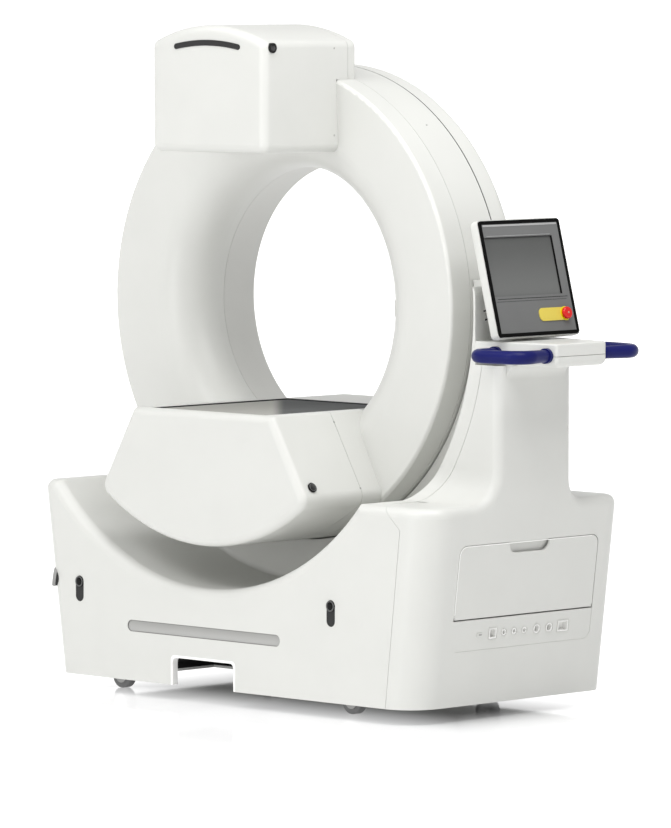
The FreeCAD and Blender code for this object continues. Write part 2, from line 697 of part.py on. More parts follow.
def detector_covers():
    """Front and rear mouldings of the detector housing, with the window's recess."""
    outer_box, top = detector_form(0)
    inner_box, _ = detector_form(S.box_wall)
    outer = outer_box.cut(ring_space(S.bar_proud / 10)).fuse(tail_form(0))
    shell = outer.cut(inner_box).cut(tail_form(S.box_wall))
    ledge = window_block(S.window_recess + S.window_thickness + S.box_wall, 2 * S.box_wall)
    shell = shell.fuse(ledge.common(outer))
    shell = shell.cut(window_block(S.window_recess + S.window_thickness, 0))
    slack = S.sensor_half + S.seat_gap
    hollow = box(-slack, slack, S.window_front + S.tail_edge, S.window_rear - S.tail_edge, 0, top)
    shell = shell.cut(hollow.common(ledge))
    shell = shell.cut(detector_lens_form(0))
    wide = 2 * S.ring_radius
    cuts = (("detector_front_cover", S.detector_front - 1, S.detector_split - S.seam / 2),
            ("detector_rear_cover", S.detector_split + S.seam / 2, S.tail_rear + 1))
    for label, start, end in cuts:
        part = shell.common(box(-wide, wide, start, end, 0, 2 * S.axis_height))
        feature(label, one_solid(part))


def window_block(depth, margin):
    """The rectangular recess in the detector housing's top, grown by a margin."""
    top = S.axis_height - S.plate_level
    return box(-S.window_half - margin, S.window_half + margin, S.window_front - margin,
               S.window_rear + margin, top - depth, top)


def detector_lens_form(proud):
    """The round camera lens low on the right flank of the detector box."""
    drop = S.detector_lens_drop
    top = S.axis_height - S.plate_level
    spot = (S.detector_top_half + FLANK * drop, S.detector_front + S.detector_lens_setback, top - drop)
    angle = math.radians(float(S.detector_flank))
    normal = Vector(math.cos(angle), 0, math.sin(angle))
    start = Vector(*map(float, spot)) + normal * float(proud)
    return rod(S.lens_radius, (start.x, start.y, start.z), normal * -1,
               float(proud) + 2 * float(S.box_wall))


def detector_fittings():
    """The dark window on its ledge and the flat panel under it."""
    under = S.axis_height - S.plate_level - S.window_recess - S.window_thickness
    feature("detector_window", box(-S.window_half, S.window_half, S.window_front, S.window_rear,
                                   under, under + S.window_thickness))
    front = S.window_front + S.tail_edge + S.seat_gap
    feature("flat_panel_detector", box(-S.sensor_half, S.sensor_half, front, front + S.sensor_depth,
                                       under - S.sensor_thickness, under))


# ------------------------------------------------------------------ base and column
def side_at(height, inset):
    """x of the leaning right side at a height, moved inwards by an inset."""
    return S.base_right + (height - S.base_clearance) * LEAN - inset / cosine(S.side_lean)


def left_at(height, inset):
    """x of the leaning left side at a height, moved inwards by an inset."""
    return -(S.base_left + (height - S.base_clearance) * LEFT_LEAN - inset / cosine(S.left_lean))


def base_form(inset):
    """Base, column and shoulder as one solid: a front outline crossed with a side outline.

    The front outline leans out to the right, then bends upright into the column; the
    side outline flares from the top of the base into the column's front and rear.
    """
    floor = S.base_clearance - (S.base_clearance / 2 if float(inset) else 0)
    top = S.base_top - inset
    face = S.column_face - inset
    bend_height = S.base_clearance + (S.column_face - S.base_right) / LEAN
    front = prism([
        (left_at(floor, inset), floor), (side_at(floor, inset), floor),
        (side_at(bend_height, inset), bend_height, S.column_bend),
        (face, S.column_top - inset), (S.shoulder_face - inset, S.column_top - inset),
        (S.shoulder_face - inset, S.shoulder_top - inset, S.shoulder_round - inset),
        (S.bore_radius, S.shoulder_top - inset), (S.bore_radius, top),
        (left_at(top, inset), top)], along_y, inset, S.base_depth - inset)
    side = prism([
        (inset, floor), (S.base_depth - inset, floor), (S.base_depth - inset, top),
        (COLUMN_REAR - inset, top, S.flare_rear + inset),
        (COLUMN_REAR - inset, S.shoulder_top - inset, S.shoulder_edge - inset),
        (COLUMN_FRONT + inset, S.shoulder_top - inset, S.shoulder_edge - inset),
        (COLUMN_FRONT + inset, top, S.flare_front + inset), (inset, top)],
        along_x, -2 * S.base_right, 2 * S.base_right)
    form = one_solid(front.common(side))
    return round_base(form, inset)


def round_base(form, inset):
    """Round the four wall corners, then the rim that runs round the top and up the column."""
    front, rear = inset, S.base_depth - inset

    def corner(side, level):
        def wanted(edge):
            middle = edge.CenterOfMass
            return (middle.z < float(S.base_top) and abs(middle.y - float(level)) < 1
                    and middle.x * side > float(S.bore_radius) and upright(edge))
        return wanted

    form = rounded(form, S.corner_left - inset, corner(-1, front))
    form = rounded(form, S.corner_right - inset, corner(1, front))
    for side in (-1, 1):
        form = rounded(form, S.corner_rear - inset, corner(side, rear))
    top = float(S.base_top - inset)
    left, right = float(left_at(S.base_top, inset)), float(side_at(S.base_top, inset))
    near = float(S.corner_right / 2)
    column_side = float(S.column_width / 2 - inset - S.edge_round)

    def rim(edge):
        middle = edge.CenterOfMass
        if middle.z > top + 1:
            return middle.x > right - 2 and abs(middle.y - float(S.arm_centre)) > column_side
        along = min(abs(middle.y - float(front)), abs(middle.y - float(rear))) < 1
        return abs(middle.z - top) < 1 and (along or middle.x < left + near or middle.x > right - near)

    return rounded(form, S.edge_round - inset, rim)


def trough_tool(grow):
    """What the rotor needs to pass: the lipped trough in front, the ring's seat behind."""
    radius = S.trough_radius + grow
    lip = S.trough_lip
    mouth = S.trough_radius + lip
    lip_depth = lip + grow if float(grow) else Length.of(0)
    wall = S.trough_depth + grow
    rear = S.cradle_depth + grow
    return turned([
        (0, -lip), (mouth, -lip), (mouth, lip_depth), (radius, lip_depth),
        (radius, wall, S.trough_corner + grow), (SEAT_RADIUS + grow, wall),
        (SEAT_RADIUS + grow, rear), (0, rear)])


def lip_tool():
    """The quarter round that rolls the base's front face into the trough."""
    lip, radius = S.trough_lip, S.trough_radius
    bulge = lip * (1 - math.sqrt(0.5))
    start = along_z(radius + lip, 0)
    end = along_z(radius, lip)
    wire = Part.Wire([
        Part.makeLine(along_z(radius, -lip), along_z(radius + lip, -lip)),
        Part.makeLine(along_z(radius + lip, -lip), start),
        Part.Arc(start, along_z(radius + bulge, bulge), end).toShape(),
        Part.makeLine(end, along_z(radius - 1, lip)),
        Part.makeLine(along_z(radius - 1, lip), along_z(radius - 1, -lip)),
        Part.makeLine(along_z(radius - 1, -lip), along_z(radius, -lip))])
    solid = Part.Face(wire).revolve(Vector(), Y_AXIS, 360)
    solid.translate(Z_AXIS * float(S.axis_height))
    return solid


def base_shell():
    """The hollow moulding of base and column before it is split along its seams."""
    outer = base_form(0).cut(trough_tool(0)).cut(lip_tool())
    inner = base_form(S.base_wall).cut(trough_tool(S.base_wall))
    shell = outer.cut(inner)
    for tool in (light_slot_form(0, S.base_wall * 2), eye_form(-1), eye_form(1),
                 notch_form(0, -1, S.notch_depth),
                 side_window(0), roller_window()):
        shell = shell.cut(tool)
    for sign in (-1, 1):
        shell = shell.cut(support_block(sign, S.seam))
    return shell


def light_slot_form(front, depth):
    """The long slot with round ends low in the base's front."""
    half, mid = S.slot_half, S.slot_level
    radius = S.slot_height / 2
    low, high, end = mid - radius, mid + radius, radius * FULL_ROUND
    return prism([(-half, low, end), (half, low, end), (half, high, end), (-half, high, end)],
                 along_y, front, front + depth)


def eye_form(sign, front=-1, depth=None):
    """One of the two upright sensor windows in the base's front."""
    half = S.eye_width / 2
    depth = 3 * S.base_wall if depth is None else depth
    centre = sign * S.eye_offset
    left, right, end = centre - half, centre + half, half * FULL_ROUND
    return prism([(left, S.eye_low, end), (right, S.eye_low, end),
                  (right, S.eye_high, end), (left, S.eye_high, end)],
                 along_y, front, front + depth)


def notch_form(grow, start, end):
    """The docking notch under the middle of the base's front, between two depths."""
    half = S.notch_half + grow
    top = S.notch_top + grow
    return prism([(-half, 0), (half, 0), (half, top, S.notch_round), (-half, top, S.notch_round)],
                 along_y, start, end)


def on_side(shape):
    """Stand a shape, drawn with x outwards and z up the slope, on the leaning right side."""
    stance = Placement(Vector(float(S.base_right), 0, float(S.base_clearance)),
                       Rotation(Y_AXIS, float(S.side_lean)))
    return shape.transformed(stance.Matrix, copy=True)


def side_window(grow):
    """The opening in the right side that the door and the connector panel fill."""
    r = S.panel_round + grow
    return on_side(prism([
        (S.door_front - grow, S.panel_low - grow, r), (S.door_rear + grow, S.panel_low - grow, r),
        (S.door_rear + grow, S.door_high + grow, r), (S.door_front - grow, S.door_high + grow, r)],
        along_x, -3 * S.base_wall, 3 * S.base_wall))


def roller_window():
    """The slot in the ring's seat through which the drive roller touches the rim."""
    grow = 2 * S.base_wall
    y0 = S.roller_front - grow
    return box(S.roller_offset - S.roller_radius - grow, S.roller_offset + S.roller_radius + grow,
               y0, y0 + S.roller_width + 2 * grow,
               S.axis_height - ROLLER_DROP - S.roller_radius, S.axis_height - S.ring_radius / 2)


def base_covers():
    """Split the hollow moulding into its separate covers along the seams."""
    shell = base_shell()
    gap = S.seam / 2
    wide, tall = 3 * S.base_right, 2 * S.axis_height
    low, mid, high = S.base_clearance, S.seam_mid_height, S.base_top

    def right_zone(shift):
        zone = prism([(S.seam_low + shift, 0), (wide, 0), (wide, tall), (S.seam_high + shift, tall),
                      (S.seam_high + shift, high), (S.seam_mid + shift, mid),
                      (S.seam_low + shift, low)], along_y, -1, S.base_depth + 1)
        above = box(0, wide, COLUMN_FRONT - 2 * S.flare_front, COLUMN_REAR + 2 * S.flare_rear,
                    high + shift, tall)
        rim = S.trough_radius + S.collar_width + shift
        collar = turned([(0, -1), (rim, -1), (rim, S.trough_depth + S.base_wall),
                         (0, S.trough_depth + S.base_wall)])
        return zone.fuse(above).cut(collar)

    def left_zone(shift):
        inset = S.left_seam_inset - shift
        return prism([(left_at(0, inset), 0), (left_at(tall, inset), tall), (-wide, tall), (-wide, 0)],
                     along_y, S.rear_seam + shift, S.base_depth + 1)

    rear_line = S.base_depth - S.rear_seam
    front_line = S.trough_depth + S.base_wall
    middle = shell.cut(right_zone(-gap)).cut(left_zone(-gap))
    feature("base_front_cover", one_solid(middle.common(
        box(-wide, wide, -1, front_line + gap, 0, tall))))
    feature("cradle_cover", one_solid(middle.common(
        box(-wide, wide, front_line + gap, rear_line - gap, 0, tall))))
    feature("base_rear_cover", one_solid(middle.common(
        box(-wide, wide, rear_line + gap, S.base_depth + 1, 0, tall))))
    feature("base_left_cover", one_solid(shell.common(left_zone(gap))))
    feature("base_right_cover", one_solid(shell.common(right_zone(gap))))


def front_inserts():
    """The light strip, the two sensor windows with their lenses, and the docking frame."""
    feature("light_strip", light_slot_form(S.slot_recess, S.insert_thickness))
    windows = []
    for sign in (-1, 1):
        lens = rod(S.lens_radius, (sign * S.eye_offset, S.seam - S.lens_proud,
                                   S.eye_high - S.eye_width / 2), Y_AXIS, S.insert_thickness)
        front = float(S.seam - S.lens_proud)
        lens = rounded(lens, S.lens_edge, lambda edge: edge_at_y(edge, front))
        windows.append(eye_form(sign, S.seam, S.insert_thickness).fuse(lens).removeSplitter())
    feature("sensor_windows", Part.makeCompound(windows))
    frame = notch_form(0, 0, S.lip_depth).cut(notch_form(-S.notch_lip, -1, S.lip_depth + 1))
    frame = frame.common(box(-S.base_right, S.base_right, -1, S.lip_depth + 1,
                             S.base_clearance, 2 * S.notch_top))
    feature("docking_frame", one_solid(frame))


def docking_bracket():
    """The black channel behind the notch; its rear block has two bores for a table's pins."""
    front, rear = S.lip_depth, S.notch_depth
    channel = notch_form(0, front, rear)
    channel = channel.cut(notch_form(-S.dock_wall, front - 1, rear - S.dock_block))
    low = S.notch_top - S.dock_height
    for sign in (-1, 1):
        bore = rod(S.dock_bore, (sign * S.dock_spacing, 0, low + S.dock_block / 2), Y_AXIS, 2 * rear)
        channel = channel.cut(bore)
    wide = 2 * S.notch_half
    channel = channel.common(box(-wide, wide, front, rear, low, 2 * S.notch_top))
    feature("docking_bracket", one_solid(channel))


def side_bumper():
    """The round rubber bumper on the left front corner, with a shallow disc on its end."""
    level, r = S.bumper_height, S.corner_left
    out = Vector(-1, 0, 0)
    for axis, angle in ((Y_AXIS, S.left_lean), (Z_AXIS, S.bumper_turn)):
        out = Rotation(axis, float(angle)).multVec(out)
    foot = (left_at(level, 0) + r, r, level)
    length = r + S.bumper_reach
    puck = rod(S.bumper_radius, foot, out, length)
    puck = rounded(puck, S.bumper_reach / 2,
                   lambda edge: (edge.CenterOfMass - Vector(*map(float, foot))).Length > r.number)
    disc = rod(S.bumper_disc, foot, out, length + S.bumper_disc_proud)
    feature("side_bumper", one_solid(puck.fuse(disc).cut(base_form(0))))


# ------------------------------------------------------------------ door and connectors
def connector_panel():
    """The pan behind the door and the panel strip below it that carries the sockets."""
    r, wall, gap = S.panel_round, S.pan_wall, S.seat_gap
    front, rear = S.door_front + gap, S.door_rear - gap
    low, high = S.panel_low + gap, S.door_high - gap
    strip_top = S.door_low - S.foot_gap
    block = prism([(front, low, r), (rear, low, r), (rear, high, r), (front, high, r)],
                  along_x, -S.pan_depth, -S.seam)
    hollow = prism([(front + wall, strip_top), (rear - wall, strip_top),
                    (rear - wall, high - wall, r - wall), (front + wall, high - wall, r - wall)],
                   along_x, -S.pan_depth + wall, 1)
    above = box(-S.door_thickness - S.seam, 1, front - 1, rear + 1, strip_top, high + 1)
    below_strip = box(-S.pan_depth - 1, -S.strip_thickness, front + wall, rear - wall,
                      low + wall, strip_top - wall)
    scoop = box(-S.grip_recess - wall, -S.grip_recess, S.grip_front - r, S.grip_rear + r,
                high - S.grip_depth - r, high)
    shape = block.cut(hollow).fuse(scoop.common(block)).cut(above).cut(below_strip)
    for _, y, width, height in socket_places():
        shape = shape.cut(socket_block(y, width, height, -S.strip_thickness - 1, 1))
    feature("connector_panel", on_side(one_solid(shape)))


def socket_places():
    """Name, centre along the panel, width and height of each socket; a round one has no height."""
    places = [("square_port", S.port_front, S.port_side, S.port_side)]
    for index in range(int(float(S.small_port_count))):
        places.append(("small_port", S.small_port_front + index * S.small_port_pitch,
                       S.small_port_width, None))
    for index in range(int(float(S.large_port_count))):
        places.append(("large_port", S.large_port_front + index * S.large_port_pitch,
                       S.large_port_width, None))
    places.append(("power_inlet", S.inlet_centre, S.inlet_width, S.inlet_height))
    return places


def socket_block(y, width, height, start, end):
    """A barrel or a block at a socket's place on the panel strip, between two depths."""
    level = (S.panel_low + S.door_low - S.foot_gap) / 2
    if height is None:
        return rod(width / 2, (start, y, level), X_AXIS, end - start)
    return box(start, end, y - width / 2, y + width / 2, level - height / 2, level + height / 2)


def sockets():
    """The sockets that fill the panel's holes, each with its own recess."""
    signal_ports = []
    back, face, rim = -S.strip_thickness - S.socket_depth, -S.seam / 2, S.socket_rim
    for name, y, width, height in socket_places():
        shape = socket_block(y, width, height, back, face)
        well_height = None if height is None else height - 2 * rim
        shape = shape.cut(socket_block(y, width - 2 * rim, well_height, back + rim, 1))
        if height is None:
            pin = socket_block(y, width / 4, None, back, back + S.socket_depth)
            shape = shape.fuse(pin).removeSplitter()
        if name == "power_inlet":
            feature(name, on_side(shape))
        else:
            signal_ports.append(on_side(shape))
    feature("signal_ports", Part.makeCompound(signal_ports))


def service_door():
    """The flap over the pan: a plate with a finger notch and two knuckles on a long pin."""
    r, gap, thick = S.panel_round, S.door_gap, S.door_thickness
    front, rear = S.door_front + gap, S.door_rear - gap
    low, high = S.door_low + gap, S.door_high - gap
    barrel = S.hinge_radius + S.knuckle_wall
    hinge_x, hinge_z = -barrel - gap, low + barrel + S.seam
    foot = S.seat_gap + S.pan_wall
    step = hinge_z + S.seam / 2
    plate = prism([
        (S.door_front + foot + gap, low), (S.door_rear - foot - gap, low),
        (S.door_rear - foot - gap, step), (rear, step), (rear, high, r), (front, high, r),
        (front, step), (S.door_front + foot + gap, step)], along_x, -thick, 0)
    plate = rounded(plate, gap, lambda edge: abs(edge.BoundBox.XMin) < 1e-3)
    finger = (S.grip_rear - S.grip_front) / 2
    notch = prism([(S.grip_front, high - S.grip_depth, r), (S.grip_rear, high - S.grip_depth, r),
                   (S.grip_rear, high + finger), (S.grip_front, high + finger)],
                  along_x, -thick - 1, 1)
    plate = plate.cut(notch)
    for start in (front + 2 * r, rear - 2 * r - S.knuckle_length):
        web = box(hinge_x, -thick / 2, start, start + S.knuckle_length, hinge_z, hinge_z + barrel)
        plate = plate.fuse(rod(barrel, (hinge_x, start, hinge_z), Y_AXIS, S.knuckle_length))
        plate = plate.fuse(web)
    plate = plate.cut(rod(S.hinge_radius + S.hinge_clearance, (hinge_x, front, hinge_z), Y_AXIS,
                          rear - front))
    feature("service_door", on_side(one_solid(plate.removeSplitter())))
    start, end = S.door_front + S.seat_gap + S.pan_wall, S.door_rear - S.seat_gap - S.pan_wall
    feature("door_hinge_pin", on_side(rod(S.hinge_radius, (hinge_x, start, hinge_z), Y_AXIS,
                                          end - start)))


# ------------------------------------------------------------------ tray and handles
def tray_form(inset):
    """The tray under the console: the column's width at its root, narrower at its end."""
    half_root = S.column_width / 2 - inset
    half_end = S.tray_end_width / 2 - inset
    centre = S.arm_centre
    end = S.tray_end - inset
    low = S.column_top + inset
    solid = prism([
        (S.shoulder_face + inset, centre - half_root), (end, centre - half_end, S.tray_corner),
        (end, centre + half_end, S.tray_corner), (S.shoulder_face + inset, centre + half_root)],
        along_z, low, S.tray_top - inset)
    floor, roof = float(low), float(S.tray_top - inset)
    start = float(S.shoulder_face + inset)

    def at_level(level):
        def wanted(edge):
            limits = edge.BoundBox
            return (abs(limits.ZMin - level) < 1e-3 and abs(limits.ZMax - level) < 1e-3
                    and limits.XMax > start + 1)
        return wanted

    solid = rounded(solid, S.tray_lower_round - inset, at_level(floor))
    return rounded(solid, float(S.tray_top_round) - float(inset) * 0.8, at_level(roof))


def tray_shells():
    """The lower and upper shells of the tray."""
    shell = tray_form(0).cut(tray_form(S.tray_wall))
    wide = 2 * S.tray_end
    seam = S.tray_seam_height
    feature("tray_lower_shell", one_solid(shell.common(
        box(0, wide, -wide, wide, 0, seam - S.seam / 2))))
    feature("tray_upper_shell", one_solid(shell.common(
        box(0, wide, -wide, wide, seam + S.seam / 2, 2 * seam))))


def tray_side(x):
    """Half the tray's width at x, on its tapering side."""
    share = (x - S.shoulder_face) / (S.tray_end - S.shoulder_face)
    return S.column_width / 2 + (S.tray_end_width / 2 - S.column_width / 2) * share


def handles():
    """A D-shaped tube on each side of the tray, each end in a short socket."""
    far, near = S.handle_root_in, S.handle_root_out
    angle = math.atan(float((tray_side(far) - tray_side(near)) / (near - far)))
    run = (near - far) / math.cos(angle)
    rings = []
    for sign, side in ((-1, "left"), (1, "right")):
        foot = Vector(float(far), float(S.arm_centre + sign * tray_side(far)),
                      float(S.handle_height))
        forward = Vector(math.cos(angle), -sign * math.sin(angle), 0)
        out = Vector(math.sin(angle), sign * math.cos(angle), 0)
        reach = float(S.handle_reach - S.tube_radius)
        start = foot + out * float(S.seat_gap)
        ends = [start, start + out * reach, start + out * reach + forward * float(run),
                start + forward * float(run)]
        disc = Part.Wire([Part.makeCircle(float(S.tube_radius), start, out)])
        feature("handle_" + side, rounded_path(ends, float(S.handle_bend)).makePipeShell([disc], True))
        for spot in (ends[0], ends[3]):
            sleeve = rod(S.socket_radius, tuple(spot), out, S.socket_length)
            rings.append(sleeve.cut(rod(S.tube_radius, tuple(spot - out), out, 2 * S.socket_length)))
    feature("handle_sockets", Part.makeCompound(rings))


def rounded_path(points, bend):
    """Straight runs joined by tangent arcs of one radius."""
    edges = []
    previous = points[0]
    for before, corner, after in zip(points, points[1:], points[2:]):
        back = (before - corner).normalize()
        ahead = (after - corner).normalize()
        half = back.getAngle(ahead) / 2
        reach = bend / math.tan(half)
        start, end = corner + back * reach, corner + ahead * reach
        middle = corner + (back + ahead).normalize() * (bend / math.sin(half) - bend)
        edges.append(Part.makeLine(previous, start))
        edges.append(Part.Arc(start, middle, end).toShape())
        previous = end
    edges.append(Part.makeLine(previous, points[-1]))
    return Part.Wire(edges)


# ------------------------------------------------------------------ console
def on_console(shape):
    """Stand a shape, drawn with x towards the user and z up, on the console's leaning face."""
    stance = Placement(Vector(float(S.console_face), float(S.arm_centre), float(S.console_low)),
                       Rotation(Y_AXIS, -float(S.console_lean)))
    return shape.transformed(stance.Matrix, copy=True)


def console_slab(inset, start, end, radius):
    """A rounded rectangle of the console's outline, inset, between two depths."""
    half = S.console_width / 2 - inset
    return prism([(-half, inset, radius), (half, inset, radius),
                  (half, S.console_height - inset, radius), (-half, S.console_height - inset, radius)],
                 along_x, start, end)


def panel_form(start, end):
    """The rectangle inside the bezel, between two depths."""
    edge = S.bezel_margin + S.bezel_border
    half = S.console_width / 2 - edge
    return prism([(-half, edge), (half, edge), (half, S.console_height - edge),
                  (-half, S.console_height - edge)], along_x, start, end)


def display_form(start, end):
    """The rectangle of the display, between two depths."""
    left = S.display_left + S.bezel_margin - S.console_width / 2
    right = left + S.display_width
    return prism([(left, S.display_low), (right, S.display_low), (right, S.display_high),
                  (left, S.display_high)], along_x, start, end)


def console_shells():
    """The white front shell and the thinner rear shell of the console."""
    depth, wall = S.console_depth, S.console_wall
    front = console_slab(0, -depth, 0, S.console_round)
    front = front.cut(console_slab(wall, -depth - 1, -wall, S.console_round - wall))
    feature("console_front_shell", on_console(front.cut(panel_form(-wall - 1, 1))))
    inset = S.console_back_inset
    back = console_slab(inset, -depth - S.console_back, -depth, S.console_round)
    back = rounded(back, S.console_round / 2,
                   lambda e: abs(e.CenterOfMass.x + float(depth + S.console_back)) < 1e-3)
    back = back.cut(console_slab(inset + wall, -depth - S.console_back + wall, 1 - depth,
                                 S.console_round - wall))
    back = back.fuse(tilt_lugs())
    back = back.cut(rod(S.tilt_pin + S.hinge_clearance,
                        (-S.tilt_back, -S.console_width, S.tilt_up),
                        Y_AXIS, 2 * S.console_width))
    feature("console_rear_shell", on_console(one_solid(back)))


def tilt_lugs():
    """The two lugs on the rear shell that turn on the tilt pin."""
    lugs = []
    reach = S.tilt_pin + S.tilt_lug_wall
    x = -S.tilt_back
    inner = -S.console_depth - S.console_back + S.console_wall / 2
    for sign in (-1, 1):
        y0 = sign * S.tilt_spacing / 2 - S.tilt_lug_width / 2
        barrel = rod(reach, (x, y0, S.tilt_up), Y_AXIS, S.tilt_lug_width)
        web = box(x, inner, y0, y0 + S.tilt_lug_width, S.tilt_up - reach, S.tilt_up + reach)
        lugs.append(barrel.fuse(web))
    return lugs[0].fuse(lugs[1])


def console_arm():
    """The arm from the column's shoulder, with the tilt pin pressed into its end."""
    pin_length = S.tilt_spacing + S.tilt_lug_width + 2 * S.tilt_lug_wall
    pin = rod(S.tilt_pin, (-S.tilt_back, -pin_length / 2, S.tilt_up), Y_AXIS, pin_length)
    width = S.tilt_spacing - S.tilt_lug_width - S.seam
    centre = tilt_axis()
    reach = S.tilt_pin + S.tilt_lug_wall
    barrel = rod(reach, (centre.x, S.arm_centre - width / 2, centre.z), Y_AXIS, width)
    web = box(S.shoulder_face, centre.x, S.arm_centre - width / 2, S.arm_centre + width / 2,
              centre.z - float(reach), centre.z + float(reach))
    feature("console_arm", one_solid(barrel.fuse(web).fuse(on_console(pin)).removeSplitter()))


def tilt_axis():
    """The tilt pin's place from the datums."""
    lean = math.radians(float(S.console_lean))
    x, up = float(-S.tilt_back), float(S.tilt_up)
    return Vector(float(S.console_face) + x * math.cos(lean) - up * math.sin(lean),
                  0, float(S.console_low) + x * math.sin(lean) + up * math.cos(lean))


def console_face():
    """Bezel, control panel, display, label plate and stop button."""
    thick = S.bezel_thickness
    bezel = console_slab(S.bezel_margin, 0, thick, S.console_round - S.bezel_margin)
    bezel = rounded(bezel.cut(panel_form(-1, thick + 1)), thick / 5,
                    lambda edge: abs(edge.BoundBox.XMin - float(thick)) < 1e-3)
    feature("console_bezel", on_console(bezel))
    face = thick - S.panel_recess
    glass_face = face - S.display_recess
    neck_hole = rod(S.stop_neck + S.stop_clearance, (-S.console_depth, S.stop_side, S.stop_up),
                    X_AXIS, 2 * S.console_depth)
    panel = panel_form(glass_face - S.console_wall, face).cut(display_form(glass_face, face + 1))
    feature("control_panel", on_console(one_solid(panel.cut(neck_hole))))
    feature("display", on_console(display_form(glass_face, glass_face + S.seam)))
    half = S.plate_height / 2
    right = S.stop_side + half
    left = right - S.plate_length
    plate = prism([(left, S.stop_up - half, half / 2), (right, S.stop_up - half, half * FULL_ROUND),
                   (right, S.stop_up + half, half * FULL_ROUND), (left, S.stop_up + half, half / 2)],
                  along_x, face, face + S.label_thickness)
    feature("stop_plate", on_console(one_solid(plate.cut(neck_hole))))
    stop_button(face + S.label_thickness)


def stop_button(face):
    """The red mushroom button: a dome on a neck that slides in the panel."""
    base = face + S.stop_travel + S.stop_lift
    head = rod(S.stop_radius, (base, S.stop_side, S.stop_up), X_AXIS, S.stop_dome)
    tip = float(base + S.stop_dome)
    head = rounded(head, S.stop_dome / 2, lambda edge: abs(edge.CenterOfMass.x - tip) < 1e-3)
    neck = rod(S.stop_neck, (base - S.stop_neck_length, S.stop_side, S.stop_up), X_AXIS,
               S.stop_neck_length)
    feature("stop_button", on_console(head.fuse(neck).removeSplitter()))


# ------------------------------------------------------------------ drive and chassis
def drive():
    """The friction roller that turns the ring by its rim, and its motor."""
    height = S.axis_height - ROLLER_DROP
    roller = body("drive_roller", x=S.roller_offset, y=S.roller_front, z=height)
    page = sketch(roller, "XY_Plane", "roller_section")
    width = S.roller_width
    polygon(page, [(0, 0), (S.roller_radius, 0), (S.roller_radius, width), (S.axle_radius, width),
                   (S.axle_radius, width + S.axle_length), (0, width + S.axle_length)])
    spin(roller, page)
    front = S.roller_front + width + S.motor_gap
    plate = box(S.roller_offset - S.motor_plate_in, S.roller_offset + S.motor_plate_out,
                front, front + S.motor_plate, DECK_TOP, height + S.motor_plate_over)
    case = rod(S.motor_radius, (S.roller_offset, front + S.motor_plate, height), Y_AXIS,
               S.motor_length)
    bore = rod(S.axle_radius + S.running_fit, (S.roller_offset, front - 1, height), Y_AXIS,
               S.axle_length)
    feature("drive_motor", plate.fuse(case).cut(bore).removeSplitter())


def chassis_frame():
    """The welded frame: deck, two bulkheads under the covers, ring supports and post."""
    wide, tall = 2 * S.base_right, 2 * S.axis_height
    cavity = base_form(S.base_wall).cut(trough_tool(S.base_wall))
    frame = cavity.common(box(-wide, wide, 0, S.base_depth, S.deck_low, DECK_TOP))
    for y0 in (S.bulkhead_front, S.bulkhead_rear):
        sheet = cavity.common(box(-wide, wide, y0, y0 + S.bulkhead, DECK_TOP, tall))
        for step in (-2, -1, 0, 1, 2):
            hole = rod(S.bulkhead_hole, (step * S.bulkhead_pitch, y0 - 1, S.bulkhead_level),
                       Y_AXIS, S.bulkhead + 2)
            sheet = sheet.cut(hole)
        frame = frame.fuse(sheet)
    disc = rod(RING_INNER, (0, 0, S.axis_height), Y_AXIS, S.base_depth)
    for sign in (-1, 1):
        frame = frame.fuse(support_block(sign, 0).cut(disc))
    post = box(S.post_inner, S.shoulder_face - S.base_wall, S.post_front, S.post_rear, DECK_TOP,
               S.shoulder_top - S.shoulder_round)
    wall = S.post_wall
    post = post.cut(box(S.post_inner + wall, S.shoulder_face - S.base_wall - wall,
                        S.post_front + wall, S.post_rear - wall, DECK_TOP + wall, S.shoulder_top))
    frame = frame.fuse(post)
    frame = frame.cut(on_side(prism([
        (S.door_front, S.panel_low), (S.door_rear, S.panel_low), (S.door_rear, S.door_high),
        (S.door_front, S.door_high)], along_x, -S.pan_depth - S.seam, S.pan_depth)))
    pocket_space = notch_form(S.seat_gap, 0, S.notch_depth + S.seat_gap)
    feature("chassis_frame", one_solid(frame.cut(pocket_space).removeSplitter()))


def electronics():
    """The closed cases of the power supply and the control computer, on the deck."""
    for sign, label in ((-1, "power_unit"), (1, "control_computer")):
        left = S.unit_inner if sign > 0 else -S.unit_inner - S.unit_width
        case = body(label, x=left, y=S.unit_front, z=DECK_TOP)
        page = sketch(case, "XY_Plane", label + "_outline")
        polygon(page, [(0, 0), (S.unit_width, 0), (S.unit_width, S.unit_depth), (0, S.unit_depth)])
        pad(case, page, S.unit_height)


# ------------------------------------------------------------------ casters
def caster_spots():
    """Name and wheel centre of each caster."""
    for row, y in (("front", S.caster_front), ("rear", S.base_depth - S.caster_rear_inset)):
        for side, x in (("left", -S.caster_left), ("right", S.caster_right)):
            yield row + "_" + side, x, y


def casters():
    """Four swivel casters: top plates, forks with their axles, and wheels."""
    plates = []
    for name, x, y in caster_spots():
        stem = x + S.trail
        base = S.deck_low - S.plate_thickness
        plate = box(stem - S.swivel_plate, stem + S.swivel_plate, y - S.swivel_plate,
                    y + S.swivel_plate, base, S.deck_low)
        plates.append(plate.cut(rod(S.swivel_pin + S.running_fit, (stem, y, 0), Z_AXIS,
                                    S.deck_low)))
        caster_fork("caster_fork_" + name, stem, y, base)
        caster_wheel("caster_wheel_" + name, x, y)
    feature("caster_plates", Part.makeCompound(plates))


